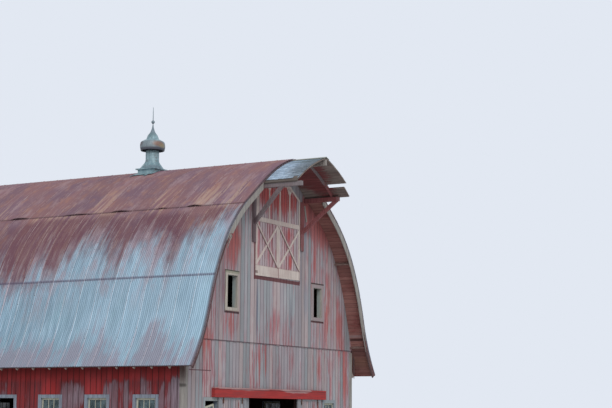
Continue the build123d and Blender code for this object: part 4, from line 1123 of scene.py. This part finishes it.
def makeWindowBars():
    points, faces = [], []
    for place in windowPlaces():
        sashBars(points, faces, place, windows["width"], windows["height"])
    tilt = math.radians(windows["looseTilt"])
    height = windows["looseHeight"]
    width = (windows["width"] - windows["looseClear"] - height * math.sin(tilt)) / math.cos(tilt)
    rise = (width * math.sin(tilt) + height * math.cos(tilt)) / 2
    sill = windows["endHead"] - windows["height"]
    place = Matrix.Translation((windows["endPlaces"][0], barn["front"], sill + rise))
    sashBars(points, faces, place @ Matrix.Rotation(-tilt, 4, "Y"), width, height)
    makePiece("windowBars", points, faces, materials["cream_sash"])


makeWindowBars()
print("glazing bars set")

# Sliding leaves: boards in the recessed panels, which ride with their doors
leaf = {
    "width": 1.56, "bottom": 0.03, "top": 2.47, "frame": 0.14, "frameDepth": 0.023, "faceY": -10.43,
    "edges": {"left_door": -3.42, "right_door": 1.33}, "seeds": {"left_door": 21, "right_door": 22},
}
leafPanel = {
    "widths": (0.12, 0.16), "gap": 0.006, "proud": 0.007, "ragged": 0.0,
    "bottom": level(leaf["bottom"] + leaf["frame"]), "top": level(leaf["top"] - leaf["frame"]),
    "place": facingFront(leaf["faceY"] + leaf["frameDepth"]),
}
for body, edge in leaf["edges"].items():
    panel = {**leafPanel, "from": edge + leaf["frame"], "to": edge + leaf["width"] - leaf["frame"]}
    layBoards(body.replace("_door", "DoorBoards"), panel, "weathered_door", leaf["seeds"][body], body)

# Boards of the hay door's two leaves and of the panel over them, behind the braces
hayMiddle = (hayDoor["left"] + hayDoor["right"]) / 2
hayPanel = {"widths": (0.14, 0.18), "gap": 0.006, "proud": 0.006, "ragged": 0.0, "place": facingFront(frontGableY)}
hayLeaf = {**hayPanel, "bottom": level(hayDoor["bottom"] + hayDoor["footRail"]), "top": level(hayDoor["leafTop"])}
hayUpper = {**hayPanel, "bottom": level(hayDoor["leafTop"] + hayDoor["upperFoot"]),
            "top": lambda x: hayHead(x) - hayDoor["upperHead"]}
for pieceName, wall, low, high, seed in (
        ("hayLeftBoards", hayLeaf, hayDoor["left"] + hayDoor["stile"], hayMiddle - hayDoor["meeting"], 23),
        ("hayRightBoards", hayLeaf, hayMiddle + hayDoor["meeting"], hayDoor["right"] - hayDoor["stile"], 24),
        ("hayUpperBoards", hayUpper, hayDoor["left"] + hayDoor["upperSide"],
         hayDoor["right"] - hayDoor["upperSide"], 25)):
    layBoards(pieceName, {**wall, "from": low, "to": high}, "hay_boards", seed)

# Worn sill board under the two leaves, lower towards its left end. The bend is how far along and
# how much higher its lower edge turns
haySill = {"left": -1.33, "right": 1.43, "top": hayDoor["bottom"] - 0.002, "leftDrop": 0.1, "rightDrop": 0.055,
           "bend": (0.9, 0.012), "proud": 0.03}


def makeHaySill():
    points, faces = [], []
    left, right, top = haySill["left"], haySill["right"], haySill["top"]
    low = top - haySill["leftDrop"]
    outline = ((left, top), (right, top), (right, top - haySill["rightDrop"]),
               (left + haySill["bend"][0], low + haySill["bend"][1]), (left, low))
    prism(points, faces, outline, frontGableY, frontGableY - haySill["proud"])
    closedPiece("hayDoorSill", points, faces, "faded_door")


makeHaySill()
print("doors boarded")


# Shingles on both slopes of the hay hood, in courses from its eave up, and two boards on the ridge
hood = {
    "back": -11.02, "front": -12.175, "lowest": 2.035, "highest": 0.15,
    # one shingle, and how far its butt strays from the course
    "under": -0.042, "exposure": 0.14, "length": 0.3, "butt": 0.012, "tip": 0.004, "tilt": 0.01,
    "widths": (0.09, 0.19), "least": 0.03, "gap": 0.006, "strays": (-0.008, 0.004), "topmost": 0.02,
    # share of shingles that are gone on each side, and the lost board and broken corner on the right
    "lost": {-1: 0.05, 1: 0.1}, "gapRuns": (1.55, 1.722), "gapBack": -11.46, "brokenFront": -12.03,
    "ridgeWidth": 0.2, "ridgeThick": 0.016, "ridgeUnder": {-1: -0.028, 1: -0.03}, "ridgeShort": 0.02,
}


def slopeBlock(points, faces, side, ends, along, under, over):
    # block on the slope between two runs, with its own lift under and over at each of them
    base = len(points)
    for run, low, high in zip(ends, under, over):
        for lift in (low, high):
            x, z = roofAt(run, lift, side)[:2]
            points.extend(((x, along[0], z), (x, along[1], z)))
    for quad in ((0, 1, 3, 2), (4, 6, 7, 5), (0, 4, 5, 1), (2, 3, 7, 6), (0, 2, 6, 4), (1, 5, 7, 3)):
        faces.append(tuple(base + k for k in quad))


def shingleLost(side, end, butt):
    # whether a shingle lay on the board that is gone or on the broken corner
    if side < 0:
        return False
    onGap = end < hood["gapBack"] and hood["gapRuns"][0] < butt < hood["gapRuns"][1] + hood["length"]
    return onGap or (end < hood["brokenFront"] and butt > hood["gapRuns"][0])


def layShingles():
    rng = random.Random(31)
    points, faces, tones = [], [], []
    under = (hood["under"], hood["under"] + hood["tilt"])
    over = (hood["under"] + hood["tip"], hood["under"] + hood["tilt"] + hood["butt"])
    for side in (-1, 1):
        butt = hood["lowest"]
        while butt > hood["highest"]:
            at = hood["back"]
            while at > hood["front"] + hood["least"]:
                width = rng.uniform(*hood["widths"])
                end = max(at - width, hood["front"])
                tone = rng.random()
                missing = rng.random() < hood["lost"][side]
                if not missing and not shingleLost(side, end, butt):
                    low = butt + rng.uniform(*hood["strays"])
                    slopeBlock(points, faces, side, (max(low - hood["length"], hood["topmost"]), low),
                               (at - hood["gap"] / 2, end + hood["gap"] / 2), under, over)
                    tones += [tone] * 8
                at = end
            butt -= hood["exposure"]
    piece = closedPiece("hoodShingles", points, faces, "grey_shingles")
    setTone(piece, tones)


def layRidgeBoards():
    points, faces = [], []
    for side in (-1, 1):
        under = hood["ridgeUnder"][side]
        over = under + hood["ridgeThick"]
        slopeBlock(points, faces, side, (0.0, hood["ridgeWidth"]),
                   (hood["back"], hood["front"] - hood["ridgeShort"]), (under, under), (over, over))
    closedPiece("hoodRidgeBoards", points, faces, "pale_ridge")


layShingles()
layRidgeBoards()
print("hood shingled")


# Broken ends of the barge boards: splinters along the rake, each a run down the slope where it
# starts, a depth under the roof, a width and a length. A corner of a splinter is a share of its
# length, a share of its width and how much deeper it lies
rakeSplinters = {
    "face": -10.983, "thick": 0.022,
    "corners": ((0, 0, 0), (0.7, 0, 0.01), (1, 0.6, 0), (0.45, 0.8, 0), (0, 1, 0)),
    -1: ((4.84, 0.03, 0.05, 0.34), (4.84, 0.1, 0.06, 0.18), (4.84, 0.17, 0.04, 0.5)),
    1: ((7.48, 0.02, 0.06, 0.5), (7.48, 0.09, 0.05, 0.24), (7.48, 0.15, 0.05, 0.85)),
}
# A loose strip on the gable and a sliver that hangs from the roof boards, corners across and up in metres
looseBits = {
    "proud": 0.028, "intoRoof": 0.012,
    "strip": ((1.72, 8.84), (1.79, 8.86), (1.93, 8.34), (1.86, 8.31)),
    "sliverHead": (5.31, 5.345), "sliverFoot": ((5.355, 3.4), (5.345, 3.16), (5.325, 3.42)),
}


def addSplinters():
    points, faces = [], []
    for side in (-1, 1):
        for run, depth, width, length in rakeSplinters[side]:
            outline = [roofAt(run + length * far, -(depth + width * wide + deeper), side)[:2]
                       for far, wide, deeper in rakeSplinters["corners"]]
            prism(points, faces, outline, rakeSplinters["face"], rakeSplinters["face"] - rakeSplinters["thick"])
    closedPiece("bargeSplinters", points, faces, "faded_trim")


def addLooseBits():
    head = [(x, underRoof(x) + looseBits["intoRoof"]) for x in looseBits["sliverHead"]]
    for pieceName, outline, finish in (("looseBits", looseBits["strip"], "faded_trim"),
                                       ("hangingSliver", (*head, *looseBits["sliverFoot"]), "fly_timber")):
        points, faces = [], []
        prism(points, faces, outline, frontGableY, frontGableY - looseBits["proud"])
        closedPiece(pieceName, points, faces, finish)


addSplinters()
addLooseBits()
print("broken bits added")


# Nails along the lap ribs of the roof sheets: low domes with a washer
nails = {
    "spacing": 0.31, "first": 0.3, "last": 9.2, "radius": 0.011, "height": 0.006, "sides": 6, "jitter": 0.02,
    "sunk": 0.001, "offRib": 0.002,
    # rings of a head: shares of its radius and height
    "rings": ((1.0, 0.0), (0.7, 0.7)),
}


def addNail(points, faces, middle, down, out):
    base, count = len(points), nails["sides"]
    for radius, height in nails["rings"]:
        for k in range(count):
            turn = 2 * math.pi * k / count
            flat = down * math.cos(turn) + Vector((0, 1, 0)) * math.sin(turn)
            points.append(tuple(middle + flat * nails["radius"] * radius + out * nails["height"] * height))
    points.append(tuple(middle + out * nails["height"]))
    for k in range(count):
        n = (k + 1) % count
        faces.append((base + k, base + n, base + count + n, base + count + k))
        faces.append((base + count + k, base + count + n, base + 2 * count))


def nailRoof():
    rng = random.Random(41)
    points, faces = [], []
    start, end = sheets["ends"]
    lapStep = sheets["wave"] * sheets["wavesPerSheet"]
    onRib = sheets["lift"] + sheets["depth"] + sheets["lapRib"] - nails["sunk"]
    for side in (-1, 1):
        for lap in range(int((end - start) / lapStep) + 1):
            run = nails["first"]
            while run < nails["last"]:
                at = run + rng.uniform(-nails["jitter"], nails["jitter"])
                rise = next(c["rise"] for c in sheets["courses"].values() if at < c["to"])
                x, z, slope = roofAt(at, onRib + rise, side)
                tilt = math.radians(slope)
                down = Vector((side * math.cos(tilt), 0, -math.sin(tilt)))
                out = Vector((side * math.sin(tilt), 0, math.cos(tilt)))
                addNail(points, faces, Vector((x, start + lap * lapStep + nails["offRib"], z)), down, out)
                run += nails["spacing"]
    closedPiece("roofNails", points, faces, "door_iron")


nailRoof()
print("roof nailed")


# Ventilators: bent sheet metal with beads and seams in place of the flat-sided CAD pieces
ventilators = {
    "places": (-5.32, 5.32), "steps": 48, "thinnest": 0.001,
    # skirt from square to round, and beads on the neck: share of its length and how far each stands out
    "skirtHalf": 0.322, "skirtBend": 1.15, "skirtFoot": 10.23, "skirtRings": 9, "bluntCorner": 1.36,
    "neckFoot": 10.514, "neckTop": 10.95, "neckRadius": 0.231,
    "beads": ((0.02, 0.007), (0.06, 0.0), (0.48, 0.0), (0.5, 0.004), (0.52, 0.0), (1.0, 0.0)),
    # drum: radius and height from the middle of its ceiling round its lower lip to its top. Its skin is
    # dented and seamed where it is wider than the lip's inside
    "drum": ((0.0, 11.15), (0.36, 11.15), (0.392, 11.12), (0.4, 10.93), (0.37, 10.9), (0.366, 10.884),
             (0.398, 10.878), (0.41, 10.884), (0.414, 10.9), (0.42, 10.93), (0.432, 10.98), (0.436, 11.04),
             (0.43, 11.1), (0.418, 11.145), (0.411, 11.165), (0.404, 11.182), (0.384, 11.196), (0.3, 11.24),
             (0.2, 11.29), (0.0, 11.3)),
    "skinFrom": 0.395, "dents": (-0.006, 0.005), "dentCount": 12, "seams": 8, "seamLift": 0.006, "seamHalf": 0.13,
    "dome": ((0.218, 11.268), (0.212, 11.3), (0.203, 11.33), (0.19, 11.375), (0.17, 11.42), (0.145, 11.455),
             (0.11, 11.5), (0.08, 11.545), (0.058, 11.6), (0.04, 11.66), (0.026, 11.72), (0.015, 11.8),
             (0.012, 11.84)),
    # the dome's gores are scalloped at its foot and fade out over its first rings
    "gores": 8, "goreDepth": 0.07, "scallop": 0.035, "flare": 0.012, "raised": 0.01, "fadeRings": 4,
    "ball": (11.892, 0.06), "ballRings": 10, "rod": ((0.0135, 11.94), (0.012, 12.2), (0.008, 12.41), (0.0, 12.42)),
}
# Strips of torn metal from the foot of each ventilator down both slopes
flashing = {
    "half": 0.42, "from": 0.34, "lift": 0.04, "widths": (0.06, 0.16), "lengths": (0.28, 0.46),
    "curl": 0.012, "thick": 0.003, "gap": 0.004, "least": 0.01,
}


def roundRing(place, radius, height, shape=None):
    # shape gives a radius of its own and a rise for each direction
    found = []
    for k in range(ventilators["steps"]):
        turn = 2 * math.pi * k / ventilators["steps"]
        grown, raised = shape(turn, radius) if shape else (radius, 0.0)
        found.append((math.cos(turn) * grown, place + math.sin(turn) * grown, height + raised))
    return found


def skirtShape(inward):
    # drawn out from a circle towards a square with blunt corners
    def shape(turn, radius):
        reach = 1 / max(abs(math.cos(turn)), abs(math.sin(turn)))
        corner = ventilators["skirtHalf"] * min(reach, ventilators["bluntCorner"])
        return radius + (corner - radius) * inward, 0.0
    return shape


def drumShape(dents):
    def shape(turn, radius):
        dent = dents[int(turn / (2 * math.pi) * len(dents)) % len(dents)]
        onSeam = abs(math.sin(turn * ventilators["seams"] / 2)) < ventilators["seamHalf"]
        seam = ventilators["seamLift"] if onSeam else 0.0
        return radius + (dent + seam if radius > ventilators["skinFrom"] else 0.0), 0.0
    return shape


def goreShape(fade):
    def shape(turn, radius):
        between = abs(math.sin(turn * ventilators["gores"] / 2))
        return (radius * (1 - ventilators["goreDepth"] * between) + ventilators["flare"] * fade,
                -ventilators["scallop"] * fade * (1 - between) + ventilators["raised"] * fade)
    return shape


def neckRings(place):
    rings = []
    last = ventilators["skirtRings"] - 1
    for i in range(last + 1):
        share = i / last
        height = ventilators["skirtFoot"] + (ventilators["neckFoot"] - ventilators["skirtFoot"]) * share
        shape = skirtShape((1 - share) ** ventilators["skirtBend"])
        rings.append(roundRing(place, ventilators["neckRadius"], height, shape))
    length = ventilators["neckTop"] - ventilators["neckFoot"]
    for share, bead in ventilators["beads"]:
        rings.append(roundRing(place, ventilators["neckRadius"] + bead, ventilators["neckFoot"] + length * share))
    return rings


def domeRings(place):
    rings = []
    for i, (radius, height) in enumerate(ventilators["dome"]):
        shape = goreShape(max(0.0, 1 - i / ventilators["fadeRings"]))
        rings.append(roundRing(place, radius, height, shape))
    middle, radius = ventilators["ball"]
    thinnest = ventilators["dome"][-1][0]
    for i in range(1, ventilators["ballRings"]):
        turn = math.pi * i / ventilators["ballRings"]
        rings.append(roundRing(place, max(radius * math.sin(turn), thinnest), middle - radius * math.cos(turn)))
    return rings + [roundRing(place, max(r, ventilators["thinnest"]), h) for r, h in ventilators["rod"]]


def makeVentilators():
    rng = random.Random(51)
    parts = {"ventilatorNecks": ([], []), "ventilatorDrums": ([], []), "ventilatorDomes": ([], [])}
    for place in ventilators["places"]:
        dented = drumShape([rng.uniform(*ventilators["dents"]) for i in range(ventilators["dentCount"])])
        drum = [roundRing(place, max(r, ventilators["thinnest"]), h, dented) for r, h in ventilators["drum"]]
        for name, rings in zip(parts, (neckRings(place), drum, domeRings(place))):
            loft(*parts[name], rings)
    for name, (points, faces) in parts.items():
        piece = closedPiece(name, points, faces, "ventilator_metal", smooth=True)
        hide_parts({"ventilatorNecks": "ventilator_necks", "ventilatorDrums": "ventilator_drums",
                            "ventilatorDomes": "ventilator_domes"}[name])


def layFlashing():
    rng = random.Random(52)
    points, faces = [], []
    for place in ventilators["places"]:
        for side in (-1, 1):
            at, last = place - flashing["half"], place + flashing["half"]
            while at < last - flashing["least"]:
                end = min(at + rng.uniform(*flashing["widths"]), last)
                low = flashing["from"] + rng.uniform(*flashing["lengths"])
                middle = (flashing["from"] + low) / 2
                curl = rng.uniform(0.0, flashing["curl"])
                for runs, curls in (((flashing["from"], middle), (0.0, 0.0)), ((middle, low), (0.0, curl))):
                    under = [flashing["lift"] + c for c in curls]
                    slopeBlock(points, faces, side, runs, (at, end - flashing["gap"]), under,
                               [u + flashing["thick"] for u in under])
                at = end
    closedPiece("ventilatorFlashing", points, faces, "ventilator_metal")


makeVentilators()
layFlashing()
print("ventilators bent")


# Soft daylight, a pale floor and the camera at the picture's place
camera = {
    "place": (-41.517, -35.170, 1.879), "yaw": 29.747, "pitch": 8.040, "roll": 0.3756,
    "focal": 1493.54, "frameWidth": 612, "sensor": 36, "farthest": 1000,
}
lights = {
    "skyStrength": 0.62, "sky": (0.96, 0.98, 1.0, 1.0), "backdrop": tint(226, 232, 242),
    "sunStrength": 1.5, "sunSoftness": 35, "sunFrom": (-0.62, -0.62, 0.62), "sunColour": (1.0, 0.97, 0.94),
}
floor = {"colour": tint(222, 222, 222), "rough": 0.9, "half": 260}


def setCamera():
    yaw, pitch, roll = [math.radians(camera[k]) for k in ("yaw", "pitch", "roll")]
    ahead = Vector((math.cos(pitch) * math.cos(yaw), math.cos(pitch) * math.sin(yaw), math.sin(pitch)))
    right = Vector((math.sin(yaw), -math.cos(yaw), 0))
    up = right.cross(ahead)
    turnedRight = right * math.cos(roll) + up * math.sin(roll)
    turnedUp = up * math.cos(roll) - right * math.sin(roll)
    lens = bpy.data.cameras.new("barnCamera")
    lens.sensor_width = camera["sensor"]
    lens.lens = camera["focal"] * camera["sensor"] / camera["frameWidth"]
    lens.clip_end = camera["farthest"]
    seen = bpy.data.objects.new("barnCamera", lens)
    bpy.context.scene.collection.objects.link(seen)
    turn = Matrix((turnedRight, turnedUp, -ahead)).transposed().to_4x4()
    seen.matrix_world = Matrix.Translation(camera["place"]) @ turn
    bpy.context.scene.camera = seen


def setLight():
    sun = bpy.data.lights.new("softSun", "SUN")
    sun.energy = lights["sunStrength"]
    sun.angle = math.radians(lights["sunSoftness"])
    sun.color = lights["sunColour"]
    lamp = bpy.data.objects.new("softSun", sun)
    bpy.context.scene.collection.objects.link(lamp)
    lamp.rotation_euler = Vector(lights["sunFrom"]).to_track_quat("Z", "Y").to_euler()

    world = bpy.data.worlds.new("studio")
    bpy.context.scene.world = world
    world.use_nodes = True
    tree = world.node_tree
    tree.nodes.clear()
    # what the camera, glass and gloss see is the pale backdrop, all else is lit by the sky
    rays = put(tree, "LightPath").outputs
    direct = sums(tree, "MAXIMUM", rays["Is Camera Ray"], rays["Is Glossy Ray"])
    direct = sums(tree, "MAXIMUM", direct, rays["Is Transmission Ray"])
    glow = put(tree, "Background", {"Color": lights["sky"], "Strength": lights["skyStrength"]})
    drop = put(tree, "Background", {"Color": lights["backdrop"], "Strength": 1.0})
    both = put(tree, "MixShader", {0: direct, 1: glow.outputs[0], 2: drop.outputs[0]})
    out = put(tree, "OutputWorld")
    tree.links.new(both.outputs[0], out.inputs[0])


def layFloor():
    material, tree = newMaterial("paleFloor")
    finishMaterial(tree, floor["colour"], floor["rough"])
    half = floor["half"]
    mesh = bpy.data.meshes.new("studioFloor")
    mesh.from_pydata([(-half, -half, 0), (half, -half, 0), (half, half, 0), (-half, half, 0)], [], [(0, 1, 2, 3)])
    mesh.materials.append(material)
    laid = bpy.data.objects.new("studioFloor", mesh)
    bpy.context.scene.collection.objects.link(laid)


setCamera()
setLight()
layFloor()
bpy.context.scene.view_settings.view_transform = "Standard"
